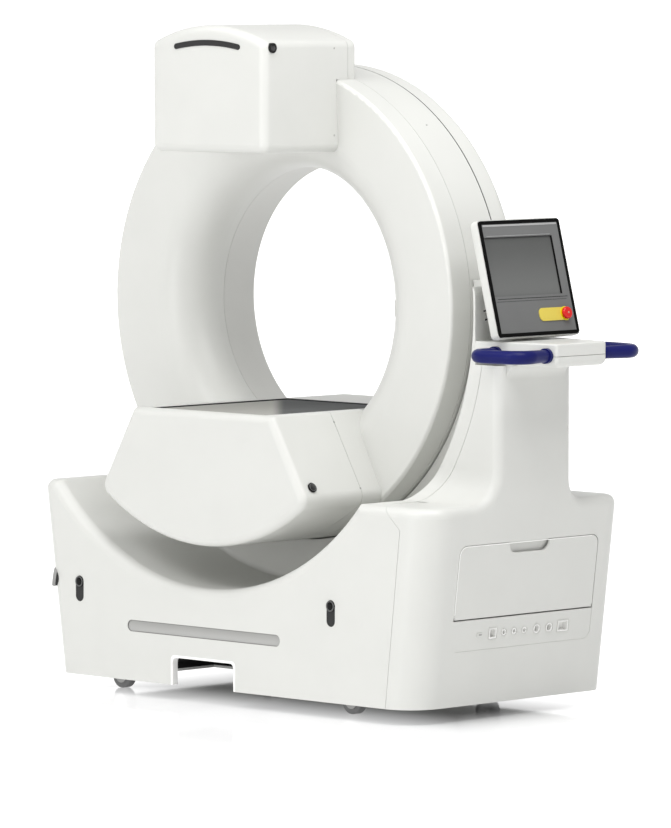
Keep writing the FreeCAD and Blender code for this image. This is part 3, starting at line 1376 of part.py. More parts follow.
def caster_fork(label, stem, y, top):
    """A fork: head plate, two cheeks, the swivel pin above and the wheel's axle."""
    head_top = top - S.swivel_clearance
    inner = S.wheel_width / 2 + S.fork_gap
    outer = inner + S.fork_wall
    low = head_top - S.fork_top
    boss, reach = S.axle_boss, S.trail + S.axle_boss
    head = box(-reach - boss, S.fork_head, -outer, outer, low, head_top)
    cheek = prism([(-S.trail + boss, S.wheel_radius - boss, boss), (S.fork_head, low),
                   (-reach - boss, low), (-S.trail - boss, S.wheel_radius - boss, boss)],
                  along_y, inner, outer)
    fork = head.fuse(cheek).fuse(cheek.mirror(Vector(), Y_AXIS))
    fork = fork.fuse(rod(S.wheel_axle, (-S.trail, -outer, S.wheel_radius), Y_AXIS, 2 * outer))
    fork = fork.fuse(rod(S.swivel_pin, (0, 0, low), Z_AXIS, S.deck_low - low - S.swivel_clearance))
    feature(label, one_solid(fork.removeSplitter()), x=stem, y=y)


def caster_wheel(label, x, y):
    """A wheel: rounded tread, recessed hub faces and a bore for its axle."""
    wheel = body(label, x=x, y=y, z=S.wheel_radius)
    page = sketch(wheel, "XY_Plane", label + "_section")
    bore, half = S.wheel_axle + S.wheel_clearance, S.wheel_width / 2
    shoulder = S.fork_gap
    polygon(page, [(bore, -half), (S.hub_disc, -half), (S.hub_disc, shoulder - half),
                   (S.wheel_radius - shoulder, shoulder - half),
                   (S.wheel_radius, 2 * shoulder - half), (S.wheel_radius, half - 2 * shoulder),
                   (S.wheel_radius - shoulder, half - shoulder), (S.hub_disc, half - shoulder),
                   (S.hub_disc, half), (bore, half)])
    spin(wheel, page)


# ------------------------------------------------------------------ build, check, write
def build():
    """Every piece, from the ring outwards."""
    rotor_front_cover()
    rotor_rim_cover()
    rotor_drum()
    ring_bearing()
    gantry_frame_ring()
    gantry_rear_cover()
    gantry_bore_liner()
    tube_box_covers()
    tube_box_fittings()
    detector_covers()
    detector_fittings()
    positioning_cameras()
    base_covers()
    front_inserts()
    docking_bracket()
    side_bumper()
    connector_panel()
    sockets()
    service_door()
    tray_shells()
    handles()
    console_shells()
    console_arm()
    console_face()
    drive()
    chassis_frame()
    electronics()
    casters()


def check_and_write():
    """Stop at any faulty object; otherwise write each piece to its own file."""
    DOC.recompute()
    for item in DOC.Objects:
        if "Invalid" in item.State or "Error" in item.State:
            raise RuntimeError("%s: %s" % (item.Label, item.State))
    for piece in PIECES:
        shape = piece.Shape
        if shape.isNull() or not shape.isValid() or shape.Volume <= 0:
            raise RuntimeError("%s has no sound shape" % piece.Label)
    os.makedirs("parts", exist_ok=True)
    for piece in PIECES:
        piece.Shape.exportStep("parts/%s.step" % piece.Label)


build()
check_and_write()
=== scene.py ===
"""Looks of a mobile cone-beam scanner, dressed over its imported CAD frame.

Everything is in metres in the frame's own axes: +Z is up, the patient's side faces -Y and
the column with the console stands at +X.  Sizes are the real ones.  Places come from the CAD
nodes' boxes, or are millimetres from the three datums in Datum.
"""
import logging
import math
from dataclasses import dataclass
from enum import Enum
from typing import Optional, Sequence, Union

import bpy
import bmesh
import numpy as np
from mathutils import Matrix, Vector


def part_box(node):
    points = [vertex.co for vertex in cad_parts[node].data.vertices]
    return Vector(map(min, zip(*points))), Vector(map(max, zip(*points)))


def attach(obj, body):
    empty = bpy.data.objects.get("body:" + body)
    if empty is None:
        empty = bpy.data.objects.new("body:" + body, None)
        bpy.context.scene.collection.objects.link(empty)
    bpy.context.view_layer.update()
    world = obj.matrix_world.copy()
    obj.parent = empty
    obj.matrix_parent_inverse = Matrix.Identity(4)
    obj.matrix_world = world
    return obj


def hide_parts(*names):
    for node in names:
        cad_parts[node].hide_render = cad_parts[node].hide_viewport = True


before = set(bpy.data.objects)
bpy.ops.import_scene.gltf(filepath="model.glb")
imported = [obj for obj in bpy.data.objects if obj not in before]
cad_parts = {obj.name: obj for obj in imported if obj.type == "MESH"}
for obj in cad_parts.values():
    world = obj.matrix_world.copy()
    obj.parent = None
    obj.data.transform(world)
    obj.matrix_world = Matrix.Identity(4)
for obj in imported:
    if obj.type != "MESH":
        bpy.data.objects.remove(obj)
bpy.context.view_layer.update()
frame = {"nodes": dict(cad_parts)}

LOG = logging.getLogger("scanner")
Array = np.ndarray
Value = Union["Signal", float, Sequence[float]]
Measure = Union[float, Array]
Triple = tuple[float, float, float]
MERGE = 1e-6                            # points nearer than this are one, in metres
SHARP = math.radians(32.0)              # edges bent further than this stay sharp
UP, REAR = (0.0, 0.0, 1.0), (0.0, 1.0, 0.0)


# ------------------------ shader maths
class Signal:
    """A shader socket that takes part in Python arithmetic."""

    def __init__(self, graph: "Graph", socket: bpy.types.NodeSocket) -> None:
        """Keep the socket and the graph that new nodes go into."""
        self.graph = graph
        self.socket = socket

    def maths(self, operation: str, *others: Value) -> "Signal":
        """One Math node on this signal.

        Args:
            operation: the Math node's operation.
            others: the values or signals of its remaining inputs.

        Returns:
            The node's result.
        """
        return self.graph.node("ShaderNodeMath", {"operation": operation},
                               dict(enumerate((self, *others))))

    def __add__(self, other: Value) -> "Signal":
        """self + other."""
        return self.maths("ADD", other)

    def __radd__(self, other: Value) -> "Signal":
        """other + self."""
        return self.maths("ADD", other)

    def __sub__(self, other: Value) -> "Signal":
        """self - other."""
        return self.maths("SUBTRACT", other)

    def __rsub__(self, other: Value) -> "Signal":
        """other - self."""
        return self.graph.node("ShaderNodeMath", {"operation": "SUBTRACT"}, {0: other, 1: self})

    def __mul__(self, other: Value) -> "Signal":
        """self * other."""
        return self.maths("MULTIPLY", other)

    def __rmul__(self, other: Value) -> "Signal":
        """other * self."""
        return self.maths("MULTIPLY", other)

    def ramp(self, low: float, high: float) -> "Signal":
        """A smooth step from 0 at low to 1 at high."""
        return self.graph.node("ShaderNodeMapRange", {"interpolation_type": "SMOOTHSTEP"},
                               {"Value": self, "From Min": low, "From Max": high})


class Graph:
    """A material's node tree with one way to add a node."""

    def __init__(self, name: str) -> None:
        """Make an empty material with its output.

        Args:
            name: the material's name.
        """
        self.material = bpy.data.materials.new(name)
        self.material.use_nodes = True
        self.tree = self.material.node_tree
        self.tree.nodes.clear()
        self.output = self.tree.nodes.new("ShaderNodeOutputMaterial")

    def node(self, kind: str, settings: Optional[dict] = None, inputs: Optional[dict] = None,
             output: Union[int, str] = 0) -> Signal:
        """Add one node, set it up, then fill its sockets.

        Args:
            kind: the node's type.
            settings: attributes set before anything is linked.
            inputs: values or signals by socket name or number.
            output: the output that the result reads.

        Returns:
            The chosen output as a signal.
        """
        made = self.tree.nodes.new(kind)
        for key, value in (settings or {}).items():
            setattr(made, key, value)
        for key, value in (inputs or {}).items():
            socket = made.inputs[key]
            if isinstance(value, Signal):
                self.tree.links.new(value.socket, socket)
            elif socket.type == "RGBA":
                socket.default_value = (*value, 1.0)
            else:
                socket.default_value = value
        return Signal(self, made.outputs[output])

    def place(self) -> Signal:
        """The object's own coordinates, in metres."""
        return self.node("ShaderNodeTexCoord", {}, {}, "Object")

    def noise(self, size: float, detail: float, stretch: Triple = (1.0, 1.0, 1.0)) -> Signal:
        """Fractal noise with a typical grain in metres.

        Args:
            size: the grain's size in metres.
            detail: octaves.
            stretch: how much finer the grain is along each axis.

        Returns:
            A value about 0.5.
        """
        where = self.node("ShaderNodeMapping", {}, {"Vector": self.place(), "Scale": stretch})
        return self.node("ShaderNodeTexNoise", {}, {"Vector": where, "Scale": 1.0 / size,
                                                    "Detail": detail})

    def vector(self, operation: str, first: Value, second: Value = UP) -> Signal:
        """One Vector Math node; a dot product gives its value, the others their vector."""
        return self.node("ShaderNodeVectorMath", {"operation": operation}, {0: first, 1: second},
                         "Value" if operation == "DOT_PRODUCT" else "Vector")

    def mix(self, factor: Value, first: Value, second: Value) -> Signal:
        """A colour between first and second by factor."""
        return self.node("ShaderNodeMix", {"data_type": "RGBA"},
                         {0: factor, 6: first, 7: second}, 2)

    def bump(self, height: Signal, depth: float) -> Signal:
        """A normal bent by a height of 0 to 1 that stands for depth metres."""
        return self.node("ShaderNodeBump", {}, {"Height": height, "Distance": depth})

    def surface(self, inputs: dict) -> bpy.types.Material:
        """Close the material with a principled shader.

        Args:
            inputs: its sockets' values or signals by name.

        Returns:
            The finished material.
        """
        shader = self.node("ShaderNodeBsdfPrincipled", {}, inputs)
        self.tree.links.new(shader.socket, self.output.inputs["Surface"])
        return self.material


# ------------------------ finishes
HAND = 0.16                             # the size of the slow drifts, in metres
COAT_ROUGHNESS = 0.08
SHADOW_FADE = (-0.34, 0.03)                    # where the painted shadow's dark ends, from its edge outwards
WHITE = (1.0, 1.0, 1.0)


@dataclass(frozen=True)
class Finish:
    """A finish with a colour, a gloss and a fine grain.

    Where `fade` is (low, high, other, way), the colour turns from other below low to its own
    above high, in metres along the way; the strip, the window and the screen use it for painted
    shade, a painted reflection and a painted sheen.  The colour drifts slowly by `drift` over a
    hand's breadth, the roughness by `uneven`, and the relief is grain * noise of `grain_size`,
    which is what moulding tools, powder paint and castings leave.  `glow` is light of its own,
    and `painted_shadow` is the middle and half size (x, y, half x, half y) of a rectangle
    without it, a painted shadow under the scanner.
    """

    name: str
    colour: Triple
    roughness: float
    metallic: float = 0.0
    coat: float = 0.0
    grain: float = 0.00002
    grain_size: float = 0.0012
    drift: float = 0.03
    uneven: float = 0.06
    stretch: Triple = (1.0, 1.0, 1.0)
    specular: float = 0.5
    fade: Optional[tuple[float, float, Triple, Triple]] = None
    glow: float = 0.0
    painted_shadow: Optional[tuple[float, float, float, float]] = None

    def material(self) -> bpy.types.Material:
        """The finish's material, made once and shared.

        Returns:
            The material.
        """
        title = "finish_" + self.name
        found = bpy.data.materials.get(title)
        if found:
            return found
        graph = Graph(title)
        cloud = graph.noise(HAND, 4.0)
        fine = graph.noise(self.grain_size, 3.0, self.stretch)
        darker = tuple(channel * (1.0 - self.drift) for channel in self.colour)
        lighter = tuple(min(1.0, channel * (1.0 + self.drift)) for channel in self.colour)
        colour = graph.mix(cloud.ramp(0.3, 0.7), darker, lighter)
        if self.fade:
            low, high, other, way = self.fade
            level = graph.vector("DOT_PRODUCT", graph.place(), way)
            colour = graph.mix(level.ramp(low, high), other, colour)
        return graph.surface({
            "Base Color": colour,
            "Roughness": (self.roughness + self.uneven * (cloud - 0.5)
                          + 0.5 * self.uneven * (fine - 0.5)),
            "Metallic": self.metallic,
            "Coat Weight": self.coat,
            "Coat Roughness": COAT_ROUGHNESS,
            "Specular IOR Level": self.specular,
            "Emission Color": self.light(graph),
            "Emission Strength": self.glow,
            "Normal": graph.bump(fine, self.grain)})

    def light(self, graph: Graph) -> Value:
        """The colour of the glow: white, but black well inside the painted shadow.

        With q = |p - middle| - half size, the distance to the painted shadow's edge is
        max(q.x, q.y), and the glow rises smoothly between the two distances in SHADOW_FADE.

        Args:
            graph: the material's nodes.

        Returns:
            The colour, or its signal where the finish has a painted shadow.
        """
        if not self.painted_shadow:
            return WHITE
        x, y, half_x, half_y = self.painted_shadow
        away = graph.vector("ABSOLUTE", graph.vector("SUBTRACT", graph.place(), (x, y, 0.0)))
        away = graph.vector("SUBTRACT", away, (half_x, half_y, 0.0))
        across, along = (graph.node("ShaderNodeSeparateXYZ", {}, {0: away}, axis)
                         for axis in (0, 1))
        return graph.mix(across.maths("MAXIMUM", along).ramp(*SHADOW_FADE), (0.0, 0.0, 0.0), WHITE)


class Look(Enum):
    """Every finish on the scanner and of its stage."""

    BODY = Finish("body_plastic", (0.615, 0.618, 0.592), 0.36, grain=0.000010,
                  grain_size=0.0016, drift=0.010, uneven=0.05, specular=0.4)
    LINER = Finish("liner_plastic", (0.60, 0.60, 0.575), 0.42, drift=0.015)
    # painted shade: the strip is darker towards its top, where the slot's upper lip shades it
    STRIP = Finish("strip_diffuser_painted_shade", (0.33, 0.33, 0.318), 0.34, specular=0.3,
                   fade=(0.186, 0.213, (0.40, 0.40, 0.388), UP))
    # painted shade: the dark band round the recessed slot's wall
    SLOT_SHADE = Finish("slot_painted_shade", (0.20, 0.20, 0.192), 0.5, specular=0.3)
    # painted highlight: far brighter than the body, for edges and lips that catch the light
    LIP_HIGHLIGHT = Finish("painted_edge_highlight", (0.90, 0.90, 0.88), 0.40, grain=0.00001, drift=0.01)
    # painted light: far lighter than the body, to cancel the shade inside the port recesses
    PORT_LIT = Finish("port_plastic_painted_light", (0.86, 0.86, 0.84), 0.45, grain=0.00001, drift=0.01)
    DOT = Finish("cap_grey", (0.26, 0.26, 0.25), 0.45, grain=0.00001)
    DARK = Finish("dark_insert", (0.028, 0.028, 0.028), 0.34, grain=0.00003, grain_size=0.0008,
                  specular=0.16)
    LATCH = Finish("latch_black", (0.006, 0.006, 0.006), 0.45, specular=0.1, grain=0.00004,
                   fade=(0.0875, 0.0885, (0.42, 0.42, 0.41), UP))
    LENS = Finish("lens_glass", (0.004, 0.004, 0.005), 0.05, coat=0.6, grain=0.000001, drift=0.2,
                  specular=0.3)
    RIM = Finish("lens_rim", (0.008, 0.008, 0.008), 0.30, grain=0.00001, specular=0.15)
    CORNEA = Finish("lens_centre", (0.10, 0.10, 0.10), 0.35, grain=0.00001, specular=0.3)
    # painted reflection: lighter where x + y is small, in place of a real reflection, which is off
    # (specular 0)
    WINDOW_REFLECTION = Finish("detector_window", (0.125, 0.128, 0.128), 0.20, grain=0.000004, specular=0.0,
                    fade=(-0.322, -0.264, (0.36, 0.358, 0.335), (1.0, 1.0, 0.0)))
    FRAMING = Finish("window_rim", (0.030, 0.030, 0.031), 0.35, specular=0.3)
    # painted shade: a black ring inside the gap behind the turning ring, so the gap reads dark
    GAP_SHADE = Finish("gap_painted_shade", (0.006, 0.006, 0.006), 0.8, specular=0.1, grain=0.00006)
    RUBBER = Finish("bumper_rubber", (0.030, 0.030, 0.030), 0.62, grain=0.00006, grain_size=0.0009,
                    specular=0.2)
    PAD = Finish("bumper_disc", (0.27, 0.27, 0.265), 0.5, grain=0.00004)
    EYE = Finish("sensor_eye", (0.0025, 0.0025, 0.0025), 0.10, grain=0.000001, specular=0.12)
    EYELID = Finish("sensor_rim", (0.085, 0.086, 0.085), 0.35, grain=0.00001, specular=0.3)
    BLUE = Finish("handle_blue", (0.010, 0.012, 0.098), 0.30, grain=0.000008, drift=0.06,
                  specular=0.10)
    BEZEL = Finish("bezel_black", (0.0035, 0.0035, 0.0035), 0.30, specular=0.05, grain=0.00001)
    PANEL = Finish("panel_grey", (0.150, 0.152, 0.151), 0.40, grain_size=0.0006, specular=0.12)
    # painted highlight: light strips on the panel's edges where they catch the light
    PANEL_HIGHLIGHT = Finish("panel_painted_highlight", (0.36, 0.36, 0.36), 0.40)
    # painted sheen: the screen is lighter towards its bottom
    SCREEN_SHEEN = Finish("screen_glass", (0.092, 0.094, 0.092), 0.16, grain=0.000001,
                    specular=0.16, fade=(1.17, 1.32, (0.140, 0.143, 0.140), UP))
    YELLOW = Finish("plate_yellow", (0.66, 0.53, 0.090), 0.38, specular=0.3)
    COLLAR = Finish("collar_yellow", (0.86, 0.74, 0.004), 0.34, grain=0.00001, specular=0.3)
    MARK = Finish("button_mark", (0.42, 0.46, 0.30), 0.4, grain=0.00001)
    RED = Finish("button_red", (0.62, 0.010, 0.008), 0.25, coat=0.3, specular=0.3)
    CAST = Finish("cast_aluminium", (0.56, 0.57, 0.58), 0.48, 1.0, grain=0.00012, grain_size=0.002)
    STEEL = Finish("bearing_steel", (0.42, 0.42, 0.43), 0.24, 1.0, stretch=(1.0, 12.0, 1.0))
    FRAME = Finish("frame_paint", (0.055, 0.06, 0.068), 0.46, grain=0.00008)
    ZINC = Finish("zinc_steel", (0.50, 0.50, 0.51), 0.33, 1.0, grain=0.00003, drift=0.08)
    FORK = Finish("fork_enamel", (0.52, 0.52, 0.50), 0.40, grain=0.00003)
    TYRE = Finish("wheel_polyurethane", (0.22, 0.22, 0.22), 0.48, grain=0.00004)
    HUB = Finish("wheel_hub", (0.50, 0.50, 0.49), 0.42, grain=0.00003)
    CASE = Finish("unit_case", (0.11, 0.115, 0.12), 0.42, 0.3, grain=0.00005)
    # painted shadow: the floor's glow is off under the base, a dark patch round the scanner's
    # footprint
    FLOOR = Finish("floor_gloss", (0.64, 0.64, 0.64), 0.07, grain=0.0, drift=0.004, uneven=0.02,
                   glow=0.53, painted_shadow=(0.0, 0.0, 0.80, 0.40))
    WALL = Finish("backdrop_paint", (0.64, 0.64, 0.64), 0.9, grain=0.0, drift=0.004,
                  specular=0.0, glow=0.62)


# ------------------------ surfaces
@dataclass
class Patch:
    """Points (n, 3) and quads or triangles that index them."""

    points: Array
    faces: list


def lattice(rows: int, columns: int, wrap_rows: bool = False, wrap_columns: bool = False) -> list:
    """Quads over a grid of points stored row by row.

    Args:
        rows: points along the first parameter.
        columns: points along the second parameter.
        wrap_rows: join the last row to the first.
        wrap_columns: join the last column to the first.

    Returns:
        Index quads (i, j), (i, j+1), (i+1, j+1), (i+1, j).
    """
    i = np.arange(rows if wrap_rows else rows - 1)[:, None]
    j = np.arange(columns if wrap_columns else columns - 1)[None, :]
    i2, j2 = (i + 1) % rows, (j + 1) % columns
    quads = np.stack(np.broadcast_arrays(i * columns + j, i * columns + j2,
                                         i2 * columns + j2, i2 * columns + j), -1)
    return [tuple(quad) for quad in quads.reshape(-1, 4).tolist()]


def rounded(corners: Sequence[Sequence[float]], steps: int = 6) -> Array:
    """A closed outline with its corners turned into tangent arcs.

    The arc of radius r at a corner P between unit directions a and b starts at
    P + a r / tan(h), where h is half the angle between them, and its centre is
    P + (a + b) r / (|a + b| sin h).

    Args:
        corners: (u, v) or (u, v, radius), in order.
        steps: segments to an arc.

    Returns:
        The outline's points.
    """
    spots = np.array([corner[:2] for corner in corners], float)
    runs = []
    for index, corner in enumerate(corners):
        radius = corner[2] if len(corner) > 2 else 0.0
        spot = spots[index]
        if radius <= 0.0:
            runs.append(spot[None])
            continue
        before, after = (unit(spots[index - 1] - spot),
                         unit(spots[(index + 1) % len(spots)] - spot))
        half = 0.5 * math.acos(float(np.clip(before @ after, -1, 1)))
        middle = spot + unit(before + after) * radius / math.sin(half)
        start, end = (spot + side * radius / math.tan(half) - middle for side in (before, after))
        share = np.linspace(0, 1, steps + 1)[:, None]
        span = math.pi - 2 * half
        blend = (np.sin((1 - share) * span) * start + np.sin(share * span) * end) / math.sin(span)
        runs.append(middle + blend)
    return np.vstack(runs)


def unit(vector: Array) -> Array:
    """The vector or vectors at length one."""
    return vector / np.linalg.norm(vector, axis=-1, keepdims=True)


def lathe(profile: Sequence[Sequence[float]], origin: Sequence[float], axis: Sequence[float],
          turns: int = 40) -> Patch:
    """A closed profile carried round any axis.

    With unit vectors u, v and n, n along the axis, the profile point (r, h) at angle a lies at
    origin + h n + r (u cos a + v sin a).  A point at r = 0 becomes a pole.

    Args:
        profile: closed run of (radius, height).
        origin: a point of the axis.
        axis: its direction.
        turns: steps round the circle.

    Returns:
        The surface.
    """
    normal = unit(np.asarray(axis, float))
    upright = abs(normal[2]) > 0.9
    side = unit(np.cross(normal, (1.0, 0.0, 0.0) if upright else UP))
    other = np.cross(normal, side)
    run = np.asarray(profile, float)
    angle = np.linspace(0, 2 * math.pi, turns, endpoint=False)[:, None, None]
    rings = (np.asarray(origin) + run[None, :, 1:] * normal
             + run[None, :, :1] * (side * np.cos(angle) + other * np.sin(angle)))
    return Patch(rings.reshape(-1, 3), lattice(turns, len(run), True, True))


def onto(run: Array, origin: Sequence[float], across: Sequence[float], up: Sequence[float],
         height: float) -> Array:
    """A flat run carried into space: origin + u across + v up + height (across x up).

    Args:
        run: points (u, v).
        origin: where (0, 0) lies.
        across: unit vector of u.
        up: unit vector of v.
        height: distance from the plane through the origin.

    Returns:
        The points, (n, 3).
    """
    across, up = np.asarray(across, float), np.asarray(up, float)
    flat = np.asarray(origin) + run[:, :1] * across + run[:, 1:] * up
    return flat + height * np.cross(across, up)


def plate(outline: Array, origin: Sequence[float], across: Sequence[float], up: Sequence[float],
          low: float, high: float, ease: float = 0.0) -> Patch:
    """A flat outline as a thin plate, with its outer rim eased inwards by `ease`.

    The rim ends ease below the face, and the face's own ring is drawn in towards the outline's
    middle by the same ease.

    Args:
        outline: closed run of (u, v).
        origin: where (0, 0) lies.
        across: unit vector of u.
        up: unit vector of v.
        low: height of the underside.
        high: height of the face.
        ease: the rim's radius.

    Returns:
        The plate's skin.
    """
    middle = outline.mean(axis=0)
    reach = np.linalg.norm(outline - middle, axis=1, keepdims=True)

    def ring(inset: float, height: float) -> Array:
        """The outline drawn in by inset, at a height."""
        run = middle + (outline - middle) * (1 - inset / reach)
        return onto(run, origin, across, up, height)

    rings = [ring(0.0, low), ring(0.0, high - ease)]
    if ease:
        rings += [ring(0.3 * ease, high - 0.3 * ease), ring(ease, high)]
    return stack(rings)


def border(outline: Array, width: float, origin: Sequence[float], across: Sequence[float],
           up: Sequence[float], low: float, high: float) -> Patch:
    """A frame of constant width inside a closed outline.

    The inner run is the outline moved inwards along the mean normal of its two neighbours.

    Args:
        outline: closed run of (u, v), anticlockwise.
        width: the frame's width.
        origin: where (0, 0) lies.
        across: unit vector of u.
        up: unit vector of v.
        low: height of the underside.
        high: height of the face.

    Returns:
        The frame's skin.
    """
    ahead = unit(np.roll(outline, -1, 0) - outline)
    behind = np.roll(ahead, 1, 0)
    inward = np.stack((-(ahead + behind)[:, 1], (ahead + behind)[:, 0]), -1)
    turn = np.clip(1 + (ahead * behind).sum(1, keepdims=True), 0.2, None)  # tame at sharp points
    inner = outline + width * inward / turn
    rings = [onto(run, origin, across, up, height)
             for run, height in ((outline, low), (outline, high), (inner, high), (inner, low))]
    return Patch(np.vstack(rings), lattice(4, len(outline), True, True))


def oblong(width: float, height: float, radius: float, steps: int = 6) -> Array:
    """A rounded rectangle about the origin, anticlockwise."""
    u, v = width / 2, height / 2
    return rounded([(-u, -v, radius), (u, -v, radius), (u, v, radius), (-u, v, radius)], steps)


def stack(rings: Sequence[Array]) -> Patch:
    """A closed solid through rings of as many points each, capped at both ends.

    Args:
        rings: (n, 3) closed runs, all in the same order.

    Returns:
        The solid's skin.
    """
    count = len(rings[0])
    faces = lattice(len(rings), count, False, True)
    last = (len(rings) - 1) * count
    faces += [tuple(range(count - 1, -1, -1)), tuple(range(last, last + count))]
    return Patch(np.vstack(rings), faces)


def copied(name: str) -> Patch:
    """A CAD node's triangles as a patch of its own, with points that coincide merged.

    Args:
        name: the node.

    Returns:
        The patch, without triangles that merging has closed.
    """
    mesh = frame["nodes"][name].data
    raw = np.empty(3 * len(mesh.vertices))
    mesh.vertices.foreach_get("co", raw)
    corners = np.empty(len(mesh.loops), np.int32)
    mesh.loops.foreach_get("vertex_index", corners)
    spots = raw.reshape(-1, 3)
    keys = np.round(spots / MERGE).astype(np.int64)
    _, first, index = np.unique(keys, axis=0, return_index=True, return_inverse=True)
    faces = index.reshape(-1)[corners].reshape(-1, 3)
    whole = (faces != np.roll(faces, 1, 1)).all(axis=1)
    return Patch(spots[first], faces[whole].tolist())


def outward(patch: Patch) -> Array:
    """Unit normals at a patch's points, each the sum of its triangles' (b - a) x (c - a).

    Args:
        patch: a surface of triangles a, b, c.

    Returns:
        The normals, (n, 3).
    """
    faces = np.array(patch.faces)
    a, b, c = (patch.points[faces[:, corner]] for corner in range(3))
    total = np.zeros_like(patch.points)
    np.add.at(total, faces, np.cross(b - a, c - a)[:, None])
    return total / np.maximum(np.linalg.norm(total, axis=1, keepdims=True), 1e-12)


# ------------------------ pieces
def link(name: str, data: bpy.types.ID) -> bpy.types.Object:
    """A new object at the origin, linked to the scene.

    Args:
        name: its name.
        data: the mesh, lamp or camera that it shows.

    Returns:
        The object.
    """
    made = bpy.data.objects.new(name, data)
    bpy.context.scene.collection.objects.link(made)
    return made


def publish(name: str, patch: Patch, look: Look, body: str, replaces: Sequence[str] = ()) -> None:
    """Turn a patch into a piece: faces outwards, smooth but for its sharp edges.

    Args:
        name: the piece's name.
        patch: its surface, in place.
        look: its finish.
        body: the CAD body that carries it.
        replaces: CAD nodes that it stands for.
    """
    mesh = bpy.data.meshes.new(name)
    mesh.from_pydata(patch.points.tolist(), [], patch.faces)
    work = bmesh.new()
    work.from_mesh(mesh)
    bmesh.ops.remove_doubles(work, verts=work.verts, dist=MERGE)
    bmesh.ops.recalc_face_normals(work, faces=work.faces)
    work.to_mesh(mesh)
    work.free()
    mesh.materials.append(look.value.material())
    piece = link(name, mesh)
    mesh.shade_smooth()
    mesh.set_sharp_from_angle(angle=SHARP)
    piece.modifiers.new("normals", "WEIGHTED_NORMAL").keep_sharp = True
    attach(piece, body)
    if replaces:
        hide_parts(*replaces)
    LOG.info("%s: %d points on %s", name, len(mesh.vertices), body)


def dress(look: Look, *nodes: str) -> None:
    """Give CAD nodes their finish.

    Args:
        look: the finish.
        nodes: the nodes' names.
    """
    for name in nodes:
        mesh = frame["nodes"][name].data
        mesh.materials.clear()
        mesh.materials.append(look.value.material())
        LOG.info("%s: %s", name, look.value.name)


# ------------------------ datums
@dataclass(frozen=True)
class Datum:
    """The frame's natural places: the ring's axis, the base's front face and the floor."""

    axis_x: float
    axis_z: float
    front: float

    @staticmethod
    def read() -> "Datum":
        """The datums as the CAD nodes' boxes give them."""
        low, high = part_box("rotor_rim_cover")
        return Datum((low.x + high.x) / 2, (low.z + high.z) / 2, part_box("base_front_cover")[0].y)

    def at(self, x: Measure, y: Measure, z: Measure) -> Array:
        """Points given in millimetres from the axis, the base's front and the floor."""
        return np.stack(np.broadcast_arrays(self.axis_x + x / 1000, self.front + y / 1000,
                                            z / 1000), -1)


DATUM = Datum.read()


# ------------------------ sub-assemblies
@dataclass(frozen=True)
class Lens:
    """A round camera lens: a stepped barrel with a domed glass in it; `eye` is a sensor's."""

    radius: float = 0.0142
    glass: float = 0.0092
    proud: float = 0.0012
    crown: float = 0.0016
    ring: bool = False
    eye: bool = False

    def build(self, name: str, place: Array, axis: Sequence[float], body: str) -> None:
        """Make the barrel's rim and the glass.

        Args:
            name: the start of both pieces' names.
            place: the centre of the barrel's face.
            axis: where the lens looks.
            body: the body that carries it.
        """
        outer, inner, top, crown = self.radius, self.glass, self.proud, self.crown
        rim = [(inner, -0.0005), (outer, -0.0005), (outer, top * 0.6), (outer - 0.0008, top),
               (inner + 0.0020, top), (inner + 0.0010, top * 0.4), (inner, top * 0.3)]
        barrel, glass = (Look.EYELID, Look.EYE) if self.eye else (Look.RIM, Look.LENS)
        publish(name + "_rim", lathe(rim, place, axis), barrel, body)
        rise = np.linspace(0, math.pi / 2, 9)
        dome = [(0.0, -0.0006)] + [(inner * math.cos(a), crown * math.sin(a)) for a in rise[:-1]]
        publish(name + "_glass", lathe(dome + [(0.0, crown)], place, axis), glass, body)
        if self.ring:
            band = [(inner + 0.0004, 0.0004), (inner + 0.0022, 0.0004), (inner + 0.0022, 0.0014),
                    (inner + 0.0004, 0.0010)]
            publish(name + "_ring", lathe(band, place, axis), Look.CORNEA, body)


@dataclass(frozen=True)
class Stud:
    """A small recessed screw with a hexagon socket."""

    radius: float = 0.0026
    look: Look = Look.DOT

    def build(self, name: str, place: Array, axis: Sequence[float], body: str) -> None:
        """Make the screw's head.

        Args:
            name: the piece's name.
            place: the centre of its face on the surface.
            axis: outwards.
            body: the body that carries it.
        """
        r = self.radius
        head = [(0.0, -0.002), (r, -0.002), (r, 0.0002), (0.85 * r, 0.0005), (0.5 * r, 0.0005),
                (0.42 * r, -0.0008), (0.0, -0.0008)]
        publish(name, lathe(head, place, axis, 24), self.look, body)


